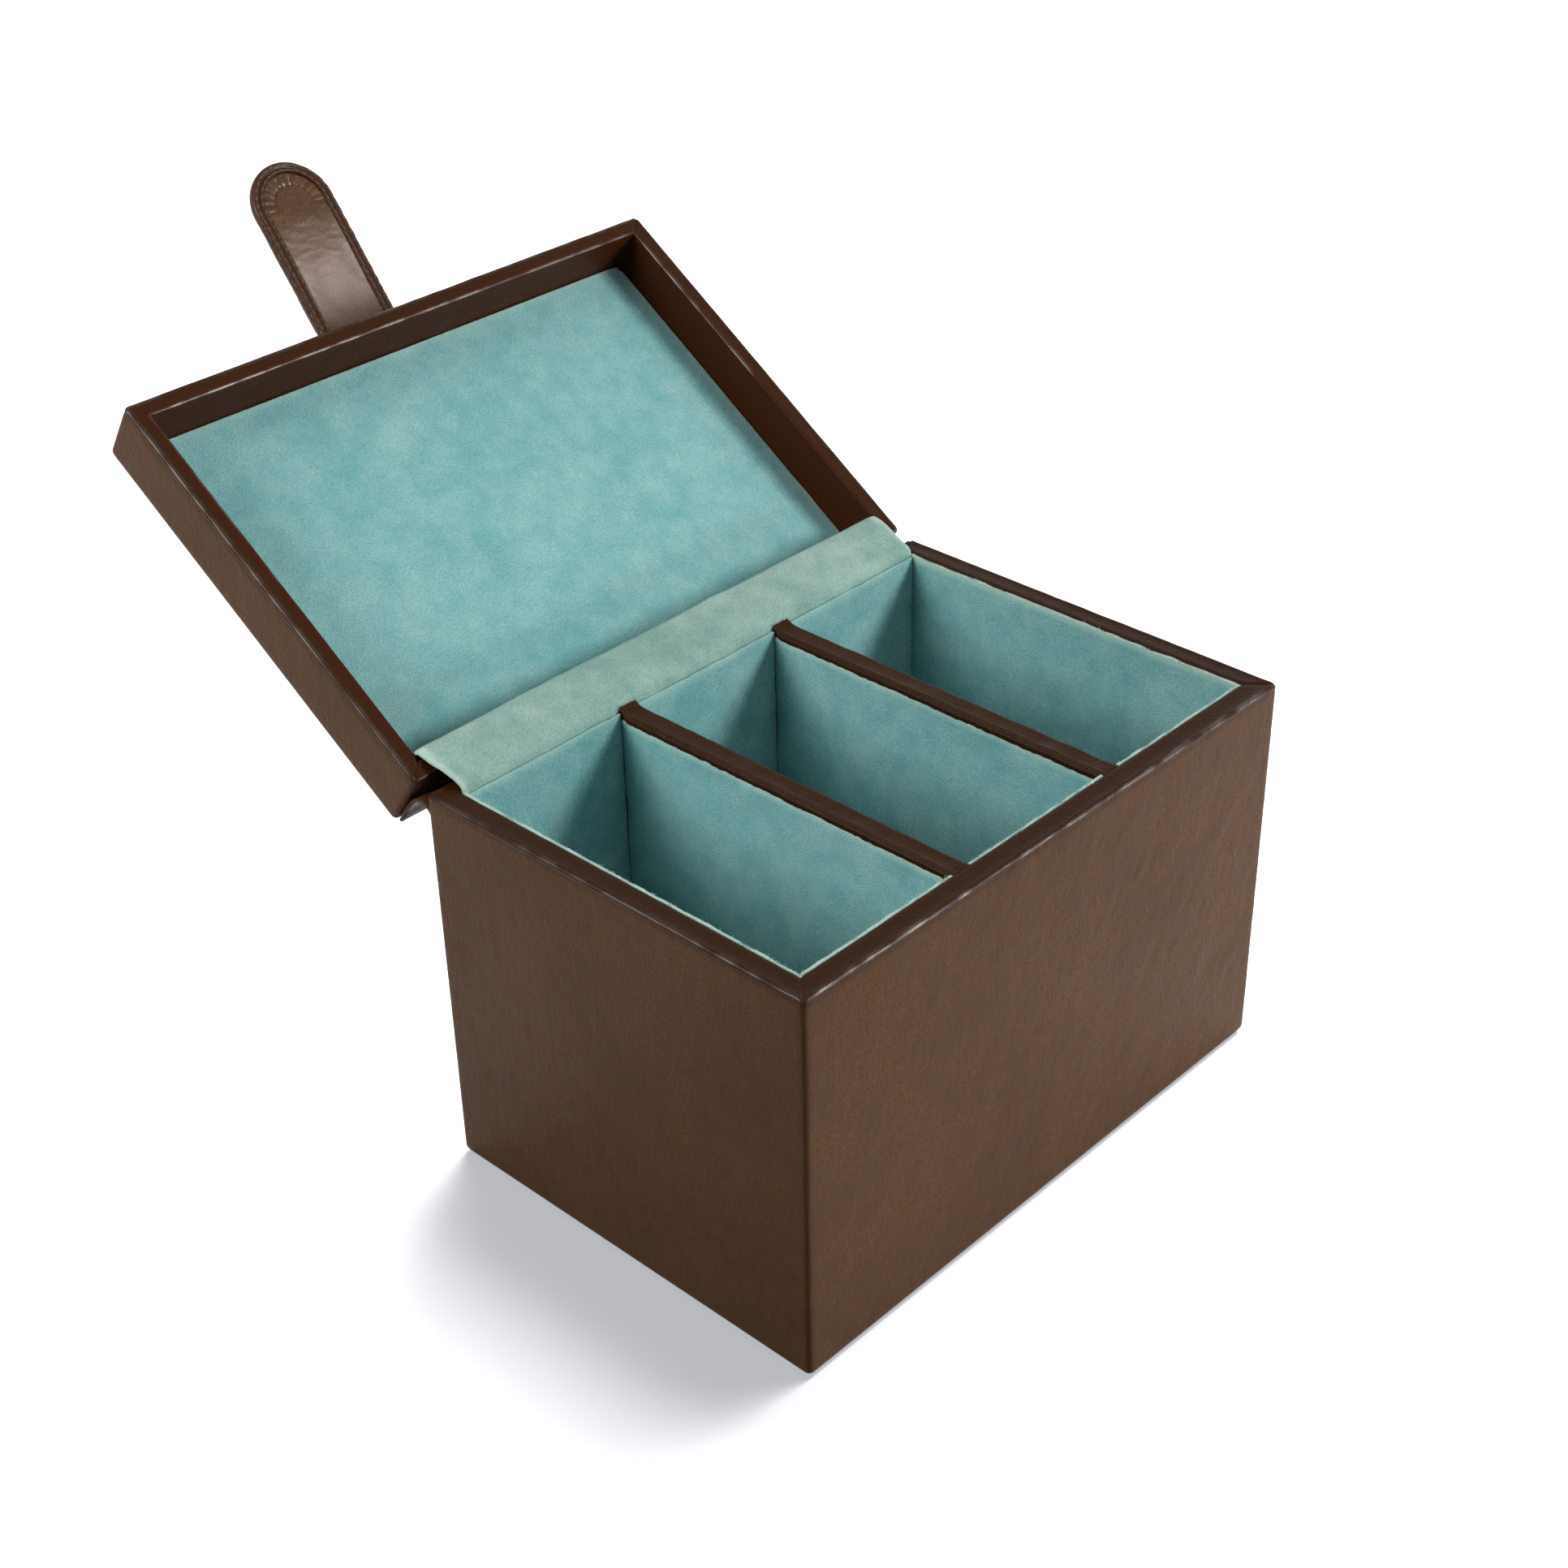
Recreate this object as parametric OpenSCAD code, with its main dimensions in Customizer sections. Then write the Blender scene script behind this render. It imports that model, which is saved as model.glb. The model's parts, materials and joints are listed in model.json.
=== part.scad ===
// Leather-covered jewellery case with three open bays, a shallow lid on a
// leather hinge and a strap with a hidden magnet. It is drawn with the lid open.
// The origin is the centre of the underside. +X is along the front, +Y goes to
// the hinge, +Z is up. All sizes are in millimetres.

/* [Case] */
// Width along the front
case_w = 200; // [150:1:260]
// Depth from front to back
case_d = 138; // [110:1:180]
// Height of the open case, without the lid
case_h = 125; // [90:1:160]
// Radius of the upright corners
corner_r = 1.6; // [1.3:0.1:3]
// Radius of the edges round the base
base_r = 3; // [1.5:0.5:4]
// Radius of the leather where it turns over the rim
rim_r = 1; // [0.5:0.1:1.2]

/* [Materials' thickness] */
// Covering leather
leather_t = 1.2; // [0.9:0.1:1.6]
// Suede with its backing
suede_t = 1.2; // [0.8:0.1:1.4]
// Board of the floor
board_t = 4.8; // [3.5:0.1:6]
// Board of the side and rear walls
side_board_t = 6; // [4.5:0.1:7]
// Board of the front wall, which holds the keeper plate
front_board_t = 6.6; // [5:0.1:8]

/* [Dividers] */
// Thickness of a divider over its leather cap
divider_t = 7; // [5.5:0.1:9]
// How far a divider's top lies below the rim
divider_drop = 0.4; // [0:0.1:4]
// How far the cap's leather turns down each side
cap_turn = 2.4; // [1.5:0.1:6]

/* [Lid] */
// Height of the lid
lid_h = 22; // [18:1:30]
// Thickness of the lid's walls
lid_wall_t = 5.7; // [5:0.1:8]
// Thickness of the board in the lid's top
lid_board_t = 3.2; // [2.4:0.1:4]
// Radius of the lid's top edges
lid_edge_r = 3; // [1.5:0.5:4]
// How far the lid stands open
open_angle = 146.3; // [100:0.1:150]

/* [Strap] */
// Width of the strap
strap_w = 29; // [22:1:36]
// Length of the strap past the lid's edge
strap_free = 65.5; // [50:0.5:75]
// Length of the end fixed on the lid
anchor_len = 36; // [25:1:50]
// How far the strap bends down from the lid's top when it hangs free
strap_set = 18; // [0:1:30]
// Distance of the strap's middle from the case's middle
strap_x = -1.5; // [-10:0.5:10]

/* [Hidden] */
$fn = 48;
eps = 0.01;

half_w = case_w / 2;
half_d = case_d / 2;
// Inner edges of the rim: past them stand only the suede linings
rim_x = half_w - leather_t - side_board_t;
rim_front_y = -half_d + leather_t + front_board_t;
rim_rear_y = half_d - leather_t - side_board_t;
// Inner faces of the suede
inner_w = 2 * (rim_x - suede_t);
front_y = rim_front_y + suede_t;
rear_y = rim_rear_y - suede_t;
floor_z = leather_t + board_t;
turn_in = 3;                       // leather turned down inside the rim
turn_z = case_h - turn_in;
lining_top = case_h - 0.5;

// Bays and dividers
bay_w = (inner_w - 2 * divider_t) / 3;
bay_x = [-bay_w - divider_t, 0, bay_w + divider_t];
divider_x = (bay_w + divider_t) / 2;
divider_board_t = divider_t - 2 * suede_t;
divider_top = case_h - divider_drop;
cap_bottom = divider_top - cap_turn;

// Hinge axis, just behind the back and level with the lid's rim
rim_gap = 0.4;
hinge_back = 2.2;
hinge_y = half_d + hinge_back;
hinge_z = case_h + rim_gap;

// Lid, drawn closed and then turned open
lid_in_x = half_w - lid_wall_t;
lid_in_y = half_d - lid_wall_t;
lid_side_board_t = lid_wall_t - 2 * leather_t;
lid_top_z = hinge_z + lid_h;
lid_board_z = lid_top_z - leather_t - lid_board_t;
lid_card_t = 1;
lid_suede_t = 1;
panel_gap = 0.2;

// Inner hinge strip: its tail is glued behind the rear linings
strip_t = suede_t;
strip_room = strip_t + 0.1;
strip_w = 2 * rim_x - 0.6;
strip_tail = 14;
// Middle line of the strip, measured from the hinge axis
strip_line = [
    [rim_rear_y + strip_t / 2 - hinge_y, -strip_tail - rim_gap],
    [rim_rear_y + strip_t / 2 - hinge_y, -1.2],
    [-8.2, 1], [-5.8, 3.4], [-2, 5.4], [3, 6.7], [7.4, 6.9], [10.2, 5.6], [21, -3.7]
];

// Outer hinge strip: its tail is let into the leather of the back
hinge_leather_t = 1.2;
hinge_leather_w = case_w - 2;
recess_low = case_h - 21;
recess_high = case_h - 5.4;
// Middle line of the leather, measured from the hinge axis
leather_line = [
    [-hinge_back - leather_t / 2, -20.9], [-hinge_back - leather_t / 2, -9.6],
    [-2.2, -7.4], [-0.6, -5.7], [1.6, -5.4], [4.6, -7.8], [8.2, -11.6], [11.6, -15.7]
];

// Strap, in layers from the face that meets the case outwards
strap_gap = 0.6;
strap_layer_t = 1.2;
strap_t = 3 * strap_layer_t;
strap_border = 3.8;
strap_root = 2;
tip_r = strap_w / 2;
tip_y = strap_free - tip_r;
magnet_r = 7;
magnet_t = strap_layer_t;
keeper_r = 8;
keeper_t = 1.2;
keeper_z = lid_top_z - tip_y;
stitch_pitch = 2.6;
stitch_len = 1.9;
stitch_w = 0.6;
stitch_h = 0.3;
stitch_inset = 2.6;

leather_brown = "#4b3226";
suede_blue = "#7db3b4";
suede_pale = "#a3c8bf";
board_grey = "#9a8f7d";
steel_grey = "#a8abad";
thread_brown = "#6b4f40";

// ---- helpers ----

// Box between two opposite corners
module span(low, high) {
    translate(low) cube(high - low);
}

// Upright rectangle standing on the X axis, with rounded bottom and top corners
module rounded_profile(w, h, bottom_r, top_r) {
    translate([-w / 2, bottom_r]) square([w, h - bottom_r - top_r]);
    translate([-w / 2 + bottom_r, 0]) square([w - 2 * bottom_r, bottom_r + eps]);
    translate([-w / 2 + top_r, h - top_r - eps]) square([w - 2 * top_r, top_r + eps]);
    for (side = [-1, 1]) {
        translate([side * (w / 2 - bottom_r), bottom_r]) circle(bottom_r);
        translate([side * (w / 2 - top_r), h - top_r]) circle(top_r);
    }
}

// Box standing on the XY plane with every outer edge rounded
module rounded_block(w, d, h, upright_r, bottom_r, top_r) {
    intersection() {
        linear_extrude(h) translate([0, -d / 2]) rounded_profile(w, d, upright_r, upright_r);
        rotate([90, 0, 0]) translate([0, 0, -d / 2])
            linear_extrude(d) rounded_profile(w, h, bottom_r, top_r);
        rotate([90, 0, 90]) translate([0, 0, -w / 2])
            linear_extrude(w) rounded_profile(d, h, bottom_r, top_r);
    }
}

// Point on a smooth curve through a list of points: the curve runs from b to c
function smooth(a, b, c, d, u) =
    0.5 * ((2 * b) + (c - a) * u + (2 * a - 5 * b + 4 * c - d) * u * u
        + (3 * b - a - 3 * c + d) * u * u * u);

function smooth_line(points, steps) = [
    for (i = [0 : len(points) - 2], s = [0 : steps - 1])
        smooth(points[max(i - 1, 0)], points[i], points[i + 1],
            points[min(i + 2, len(points) - 1)], s / steps),
    points[len(points) - 1]
];

function unit(v) = v / norm(v);

// Direction across a line at one of its points
function across(line, i) =
    let (along = unit(line[min(i + 1, len(line) - 1)] - line[max(i - 1, 0)]))
    [-along.y, along.x];

// Outline of a ribbon of even thickness along a line
function ribbon(line, t) = concat(
    [for (i = [0 : len(line) - 1]) line[i] + across(line, i) * t / 2],
    [for (i = [len(line) - 1 : -1 : 0]) line[i] - across(line, i) * t / 2]
);

// Ribbon in the YZ plane round the hinge axis, as wide as w along X. Its first
// stretch, the glued tail, is straight and the rest is a smooth curve.
module hinge_ribbon(points, t, w) {
    curve = smooth_line([for (i = [1 : len(points) - 1]) points[i]], 4);
    translate([-w / 2, hinge_y, hinge_z]) rotate([90, 0, 90])
        linear_extrude(w) polygon(ribbon(concat([points[0]], curve), t));
}

// Turns what is drawn on the closed lid into its open place
module opened() {
    translate([0, hinge_y, hinge_z]) rotate([-open_angle, 0, 0])
        translate([0, -hinge_y, -hinge_z]) children();
}

// Puts what is drawn in the strap's own frame at the lid's top front edge.
// There the strap runs towards -Y and its outer face looks to +Z.
module on_strap(angle) {
    opened() translate([strap_x, -half_d, lid_top_z]) rotate([angle, 0, 0]) children();
}

// Outline of the strap with its round tip, made smaller all round by inset
module strap_outline(inset, root) {
    r = tip_r - inset;
    translate([-r, -tip_y]) square([2 * r, tip_y - root]);
    translate([0, -tip_y]) circle(r);
}

module strap_layer(inset, low, high, root = strap_root) {
    translate([0, 0, strap_gap + low]) linear_extrude(high - low) strap_outline(inset, root);
}

// One stitch lying on the face below it
module stitch() {
    translate([-stitch_w / 2, -stitch_len / 2, 0]) cube([stitch_w, stitch_len, stitch_h]);
}

// Row of stitches down both sides and round the tip
module stitch_row(length, r) {
    side_count = floor(length / stitch_pitch);
    for (side = [-1, 1], i = [0 : side_count - 1])
        translate([side * r, -stitch_pitch * (i + 0.5), 0]) stitch();
    tip_count = floor(PI * r / stitch_pitch);
    for (i = [0 : tip_count - 1]) {
        turn = 180 * (i + 0.5) / tip_count;
        translate([r * cos(turn), -length - r * sin(turn), 0]) rotate([0, 0, -turn]) stitch();
    }
}

// ---- case: boards ----

module base_board() {
    color(board_grey) span(
        [-half_w + leather_t, -half_d + leather_t, leather_t],
        [half_w - leather_t, half_d - leather_t, floor_z]
    );
}

module front_board() {
    color(board_grey) difference() {
        span(
            [-half_w + leather_t, -half_d + leather_t, floor_z],
            [half_w - leather_t, rim_front_y, case_h - leather_t]
        );
        // rebate for the leather turned in at the rim
        span([-rim_x - leather_t, rim_front_y - leather_t, turn_z], [rim_x + leather_t, 0, case_h]);
        translate([strap_x, -half_d + leather_t - eps, keeper_z]) rotate([-90, 0, 0])
            cylinder(r = keeper_r + 0.1, h = keeper_t + eps);
    }
}

module rear_board() {
    color(board_grey) difference() {
        span(
            [-half_w + leather_t, rim_rear_y, floor_z],
            [half_w - leather_t, half_d - leather_t, case_h - leather_t]
        );
        // rebate for the hinge strip's tail
        span([-rim_x, 0, case_h - strip_tail], [rim_x, rim_rear_y + strip_room, case_h]);
        // room for the leather turned in at the corners
        span([-rim_x - leather_t, 0, turn_z], [rim_x + leather_t, rim_rear_y + strip_room, case_h]);
    }
}

module side_board(side) {
    color(board_grey) scale([side, 1, 1]) difference() {
        span([rim_x, rim_front_y, floor_z], [half_w - leather_t, rim_rear_y, case_h - leather_t]);
        // rebate for the leather turned in at the rim
        span([0, rim_front_y - 1, turn_z], [rim_x + leather_t, rim_rear_y + 1, case_h]);
    }
}

module left_board() side_board(-1);
module right_board() side_board(1);

// ---- case: leather ----

module body_leather() {
    outer_low = [-half_w + leather_t, -half_d + leather_t, leather_t];
    color(leather_brown) difference() {
        rounded_block(case_w, case_d, case_h, corner_r, base_r, rim_r);
        // room for the boards
        span(outer_low, [half_w - leather_t, half_d - leather_t, turn_z]);
        difference() {
            span(
                [outer_low.x, outer_low.y, turn_z - eps],
                [half_w - leather_t, half_d - leather_t, case_h - leather_t]
            );
            span(
                [-rim_x - leather_t, rim_front_y - leather_t, turn_z - 2 * eps],
                [rim_x + leather_t, rim_rear_y + strip_room, case_h]
            );
        }
        // open mouth, with the place of the hinge strip's tail
        span([-rim_x, rim_front_y, leather_t], [rim_x, rim_rear_y + strip_room, case_h + 1]);
        // recess for the outer hinge leather
        span(
            [-hinge_leather_w / 2, half_d - leather_t - eps, recess_low],
            [hinge_leather_w / 2, half_d + 1, recess_high]
        );
        // opening for the base leather
        span([-half_w + base_r, -half_d + base_r, -1], [half_w - base_r, half_d - base_r, leather_t + eps]);
    }
}

module base_leather() {
    color(leather_brown) span(
        [-half_w + base_r, -half_d + base_r, 0],
        [half_w - base_r, half_d - base_r, leather_t]
    );
}

// ---- case: dividers ----

module divider_board(side) {
    color(board_grey) translate([side * divider_x, 0, 0]) span(
        [-divider_board_t / 2, rim_front_y, floor_z],
        [divider_board_t / 2, rim_rear_y, divider_top - leather_t]
    );
}

module left_divider_board() divider_board(-1);
module right_divider_board() divider_board(1);

// Leather cap with rounded shoulders, folded over a divider's top edge
module divider_cap(side) {
    color(leather_brown) translate([side * divider_x, 0, 0]) difference() {
        translate([0, rim_rear_y, cap_bottom]) rotate([90, 0, 0])
            linear_extrude(rim_rear_y - rim_front_y)
            rounded_profile(divider_t, divider_top - cap_bottom, 0.2, rim_r);
        span(
            [-divider_board_t / 2, rim_front_y - 1, cap_bottom - 1],
            [divider_board_t / 2, rim_rear_y + 1, divider_top - leather_t]
        );
    }
}

module left_divider_cap() divider_cap(-1);
module right_divider_cap() divider_cap(1);

// ---- case: suede ----

module front_lining(bay) {
    color(suede_blue) translate([bay_x[bay], 0, 0]) span(
        [-bay_w / 2, rim_front_y, floor_z], [bay_w / 2, front_y, lining_top]
    );
}

module rear_lining(bay) {
    color(suede_blue) translate([bay_x[bay], 0, 0]) span(
        [-bay_w / 2, rear_y, floor_z], [bay_w / 2, rim_rear_y, case_h - 0.8]
    );
}

module floor_lining(bay) {
    color(suede_blue) translate([bay_x[bay], 0, 0])
        span([-bay_w / 2, front_y, floor_z], [bay_w / 2, rear_y, floor_z + suede_t]);
}

module wall_lining(side) {
    color(suede_blue) translate([side * (inner_w + suede_t) / 2, 0, 0]) span(
        [-suede_t / 2, rim_front_y, floor_z], [suede_t / 2, rim_rear_y, lining_top]
    );
}

module divider_lining(side, face) {
    x = side * divider_x + face * (divider_t - suede_t) / 2;
    color(suede_blue) translate([x, 0, 0])
        span([-suede_t / 2, front_y, floor_z], [suede_t / 2, rear_y, cap_bottom]);
}

module left_bay_front_lining() front_lining(0);
module middle_bay_front_lining() front_lining(1);
module right_bay_front_lining() front_lining(2);
module left_bay_rear_lining() rear_lining(0);
module middle_bay_rear_lining() rear_lining(1);
module right_bay_rear_lining() rear_lining(2);
module left_wall_lining() wall_lining(-1);
module right_wall_lining() wall_lining(1);
module left_divider_left_lining() divider_lining(-1, -1);
module left_divider_right_lining() divider_lining(-1, 1);
module right_divider_left_lining() divider_lining(1, -1);
module right_divider_right_lining() divider_lining(1, 1);
module left_bay_floor() floor_lining(0);
module middle_bay_floor() floor_lining(1);
module right_bay_floor() floor_lining(2);

// ---- case: keeper and hinge ----

// Steel disc behind the front leather, where the strap's magnet lands
module keeper_plate() {
    color(steel_grey) translate([strap_x, -half_d + leather_t, keeper_z]) rotate([-90, 0, 0])
        cylinder(r = keeper_r, h = keeper_t);
}

module outer_hinge_leather() {
    color(leather_brown) hinge_ribbon(leather_line, hinge_leather_t, hinge_leather_w - 0.2);
}

module inner_hinge_suede() {
    color(suede_pale) hinge_ribbon(strip_line, strip_t, strip_w);
}

// ---- lid ----

module lid_top_board() {
    color(board_grey) opened() span(
        [-half_w + leather_t, -half_d + leather_t, lid_board_z],
        [half_w - leather_t, half_d - leather_t, lid_top_z - leather_t]
    );
}

module lid_long_board(side) {
    color(board_grey) opened()
        translate([0, side * (half_d - leather_t - lid_side_board_t / 2), 0]) span(
            [-half_w + leather_t, -lid_side_board_t / 2, hinge_z + leather_t],
            [half_w - leather_t, lid_side_board_t / 2, lid_board_z]
        );
}

module lid_short_board(side) {
    color(board_grey) opened()
        translate([side * (half_w - leather_t - lid_side_board_t / 2), 0, 0]) span(
            [-lid_side_board_t / 2, -lid_in_y - leather_t, hinge_z + leather_t],
            [lid_side_board_t / 2, lid_in_y + leather_t, lid_board_z]
        );
}

module lid_front_board() lid_long_board(-1);
module lid_rear_board() lid_long_board(1);
module lid_left_board() lid_short_board(-1);
module lid_right_board() lid_short_board(1);

module lid_leather() {
    color(leather_brown) opened() difference() {
        translate([0, 0, hinge_z])
            rounded_block(case_w, case_d, lid_h, corner_r, rim_r, lid_edge_r);
        // tray
        span([-lid_in_x, -lid_in_y, hinge_z - 1], [lid_in_x, lid_in_y, lid_board_z + eps]);
        // room for the top board
        span(
            [-half_w + leather_t, -half_d + leather_t, lid_board_z],
            [half_w - leather_t, half_d - leather_t, lid_top_z - leather_t]
        );
        // room for the boards in the walls
        difference() {
            span(
                [-half_w + leather_t, -half_d + leather_t, hinge_z + leather_t],
                [half_w - leather_t, half_d - leather_t, lid_board_z + eps]
            );
            span(
                [-lid_in_x - leather_t, -lid_in_y - leather_t, hinge_z],
                [lid_in_x + leather_t, lid_in_y + leather_t, lid_board_z + 2 * eps]
            );
        }
    }
}

// Panel that fills the inside of the lid, in the layer between two depths
module lid_panel(low, high) {
    x = lid_in_x - panel_gap;
    y = lid_in_y - panel_gap;
    opened() span([-x, -y, lid_board_z - high], [x, y, lid_board_z - low]);
}

module lid_lining_card() {
    color(board_grey) lid_panel(0, lid_card_t);
}

module lid_lining() {
    color(suede_blue) lid_panel(lid_card_t, lid_card_t + lid_suede_t);
}

// ---- strap ----

// The strap's fixed end lies on the lid's top and has a round end too
module strap_anchor() {
    color(leather_brown) on_strap(0) linear_extrude(strap_t) {
        translate([-tip_r, 1.5]) square([strap_w, anchor_len - tip_r - 1.5]);
        translate([0, anchor_len - tip_r]) circle(tip_r);
    }
}

module anchor_stitching() {
    color(thread_brown) on_strap(0) translate([0, 1.5, strap_t]) rotate([0, 0, 180])
        stitch_row(anchor_len - tip_r - 1.5, tip_r - stitch_inset);
}

// Point of the strap's side view, along past the lid's edge and up from its middle,
// where the strap has turned by an angle
function strap_point(along, up, angle) =
    [-along * cos(angle) - up * sin(angle), up * cos(angle) - along * sin(angle)];

// The flexing stretch: a short flat piece on each side of a turn round the edge
module strap_bend() {
    steps = 8;
    outline = concat(
        [[1.5, strap_gap]],
        [for (i = [0 : steps]) strap_point(0, strap_gap, strap_set * i / steps)],
        [strap_point(strap_root, strap_gap, strap_set), strap_point(strap_root, strap_t, strap_set)],
        [for (i = [steps : -1 : 0]) strap_point(0, strap_t, strap_set * i / steps)],
        [[1.5, strap_t]]
    );
    color(leather_brown) on_strap(0) translate([-tip_r, 0, 0]) rotate([90, 0, 90])
        linear_extrude(strap_w) polygon(outline);
}

// Outer leather, turned over the edges as a border on the inner face
module strap_outer_leather() {
    color(leather_brown) on_strap(strap_set) difference() {
        strap_layer(0, 0.2, strap_t);
        strap_layer(strap_border, 0, strap_layer_t + eps, 0);
        strap_layer(strap_border / 2, strap_layer_t, 2 * strap_layer_t, 0);
    }
}

module strap_core() {
    color(board_grey) on_strap(strap_set) difference() {
        strap_layer(strap_border / 2 + 0.1, strap_layer_t, 2 * strap_layer_t);
        translate([0, -tip_y, strap_gap]) cylinder(r = magnet_r + 0.1, h = strap_t);
    }
}

module strap_inner_leather() {
    color(leather_brown) on_strap(strap_set) strap_layer(strap_border + 0.1, 0, strap_layer_t);
}

module strap_magnet() {
    color(steel_grey) on_strap(strap_set) translate([0, -tip_y, strap_gap + strap_layer_t])
        cylinder(r = magnet_r, h = magnet_t);
}

module strap_stitching() {
    color(thread_brown) on_strap(strap_set)
        translate([0, -strap_root, strap_gap + 0.2 - stitch_h])
        stitch_row(tip_y - strap_root, tip_r - stitch_inset);
}

base_board();
front_board();
rear_board();
left_board();
right_board();
body_leather();
base_leather();
left_divider_board();
right_divider_board();
left_divider_cap();
right_divider_cap();
left_bay_front_lining();
middle_bay_front_lining();
right_bay_front_lining();
left_bay_rear_lining();
middle_bay_rear_lining();
right_bay_rear_lining();
left_wall_lining();
right_wall_lining();
left_divider_left_lining();
left_divider_right_lining();
right_divider_left_lining();
right_divider_right_lining();
left_bay_floor();
middle_bay_floor();
right_bay_floor();
keeper_plate();
outer_hinge_leather();
inner_hinge_suede();
lid_top_board();
lid_front_board();
lid_rear_board();
lid_left_board();
lid_right_board();
lid_leather();
lid_lining_card();
lid_lining();
strap_anchor();
anchor_stitching();
strap_bend();
strap_outer_leather();
strap_core();
strap_inner_leather();
strap_magnet();
strap_stitching();
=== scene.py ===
"""Leather jewellery case with three suede-lined bays, a shallow lid on a leather hinge
and a closing strap. Lengths in the working arrays are millimetres; meshes are metres.

Axes: +X along the front, +Y towards the hinge at the back, +Z up. The lid's own
pieces are worked out for the closed lid and then turned open about the hinge.
"""
import json
import math

import bpy
import numpy as np
from bpy.props import FloatProperty, FloatVectorProperty, PointerProperty
from mathutils import Matrix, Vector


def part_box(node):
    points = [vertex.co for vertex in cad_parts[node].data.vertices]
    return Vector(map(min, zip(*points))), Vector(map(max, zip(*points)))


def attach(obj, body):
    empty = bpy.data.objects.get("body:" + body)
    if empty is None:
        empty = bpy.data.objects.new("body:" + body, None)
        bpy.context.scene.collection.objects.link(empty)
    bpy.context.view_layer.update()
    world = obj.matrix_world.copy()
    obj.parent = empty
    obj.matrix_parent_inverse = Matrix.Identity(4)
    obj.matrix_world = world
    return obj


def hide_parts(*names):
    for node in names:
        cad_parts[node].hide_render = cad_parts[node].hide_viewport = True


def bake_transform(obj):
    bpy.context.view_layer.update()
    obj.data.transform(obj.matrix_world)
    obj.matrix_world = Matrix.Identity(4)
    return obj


bl_info = {
    "name": "Leather jewellery case",
    "version": (1, 0, 0),
    "blender": (4, 5, 0),
    "location": "View3D > Sidebar > Case",
    "description": "Builds the covered case, its lid, linings, hinge strips and strap",
    "category": "Add Mesh",
}

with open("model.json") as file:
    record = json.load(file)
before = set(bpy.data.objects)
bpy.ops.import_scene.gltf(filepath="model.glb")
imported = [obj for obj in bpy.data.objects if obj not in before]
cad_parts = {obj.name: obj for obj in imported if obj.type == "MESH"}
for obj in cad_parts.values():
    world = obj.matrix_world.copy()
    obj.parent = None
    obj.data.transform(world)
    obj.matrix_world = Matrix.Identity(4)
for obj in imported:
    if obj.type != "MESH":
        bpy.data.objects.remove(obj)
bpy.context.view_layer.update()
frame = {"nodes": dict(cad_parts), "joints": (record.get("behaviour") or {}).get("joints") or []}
MM = 0.001


def cad(node):
    """Lowest and highest corner of a node of the frame, in millimetres."""
    low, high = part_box(node)
    return np.array(low) / MM, np.array(high) / MM


def joint(name):
    """The frame's own description of one joint."""
    return next(j for j in frame["joints"] if j["name"] == name)


HINGE = joint("lid_hinge")
HINGE_Y, HINGE_Z = (v / MM for v in HINGE["pos_m"][1:])
OPEN_ANGLE = math.radians(HINGE["range_deg"][1])

# The case: half its outside, its base and the inside of its walls
HALF_W, HALF_D, CASE_H = cad("body_leather")[1]
BASE_X, BASE_Y, LEATHER_T = cad("base_leather")[1]
RIM_X = cad("right_wall_lining")[1][0]
RIM_FRONT = cad("left_wall_lining")[0][1]
RIM_REAR = cad("left_wall_lining")[1][1]
SUEDE_T = RIM_X - cad("right_wall_lining")[0][0]
WALL = 7.2
STRIP_ROOM = 1.3
REAR_IN = RIM_REAR + STRIP_ROOM
TURN_IN = 3.0
CORNER_R = 1.6
INNER_CORNER_R = 0.4

# The lid as it lies closed: its outside, its walls and the underside of its top board
LID_H = 22.0
LID_Z = HINGE_Z
LID_TOP = LID_Z + LID_H
LID_WALL = 5.7
LID_BOARD_Z = LID_TOP - 1.2 - 3.2
LID_EDGE_R = 3.0
LID_X = HALF_W - LID_WALL
LID_Y = HALF_D - LID_WALL

# The strap: its middle, half width, tip centre past the lid's edge, downward set there
# and the reach of its fixed end over the lid
STRAP_X = -1.5
STRAP_HALF = 14.5
STRAP_TIP = 51.0
STRAP_END = STRAP_TIP + STRAP_HALF
STRAP_SET = math.radians(18)
ANCHOR_END = 36.0

# A point this near the plane of a face belongs to it
NEAR_FACE = 0.3


def srgb(code):
    """Linear RGB of a hex sRGB colour, by the standard curve with a straight toe."""
    channels = [int(code[i : i + 2], 16) / 255 for i in (1, 3, 5)]
    return tuple(c / 12.92 if c <= 0.04045 else ((c + 0.055) / 1.055) ** 2.4 for c in channels)


# ---- shapes -------------------------------------------------------------------


def smoothstep(low, high, value):
    """0 below low, 1 above high and t*t*(3 - 2t) between them."""
    t = np.clip((value - low) / (high - low), 0, 1)
    return t * t * (3 - 2 * t)


def waves(points, size, seed, stretch=(1, 1, 1), count=14):
    """Smooth uneven relief from -1 to 1 or so: the sum of plane waves in seeded
    directions, whose length is about size times 0.6 to 1.6, divided by sqrt(count / 2)."""
    rng = np.random.default_rng(seed)
    direction = rng.normal(size=(count, 3))
    direction /= np.linalg.norm(direction, axis=1, keepdims=True)
    length = size * rng.uniform(0.6, 1.6, (count, 1))
    phase = rng.uniform(0, 2 * math.pi, count)
    turns = (points / np.array(stretch)) @ (direction / length).T * 2 * math.pi
    return np.sin(turns + phase).sum(-1) / math.sqrt(count / 2)


def opened(points):
    """Points of the closed lid turned to the open lid: a turn about the hinge's
    X axis by the opening angle."""
    c, s = math.cos(OPEN_ANGLE), math.sin(OPEN_ANGLE)
    y = points[..., 1] - HINGE_Y
    z = points[..., 2] - HINGE_Z
    return np.stack([points[..., 0], HINGE_Y + y * c + z * s, HINGE_Z - y * s + z * c], -1)


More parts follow.
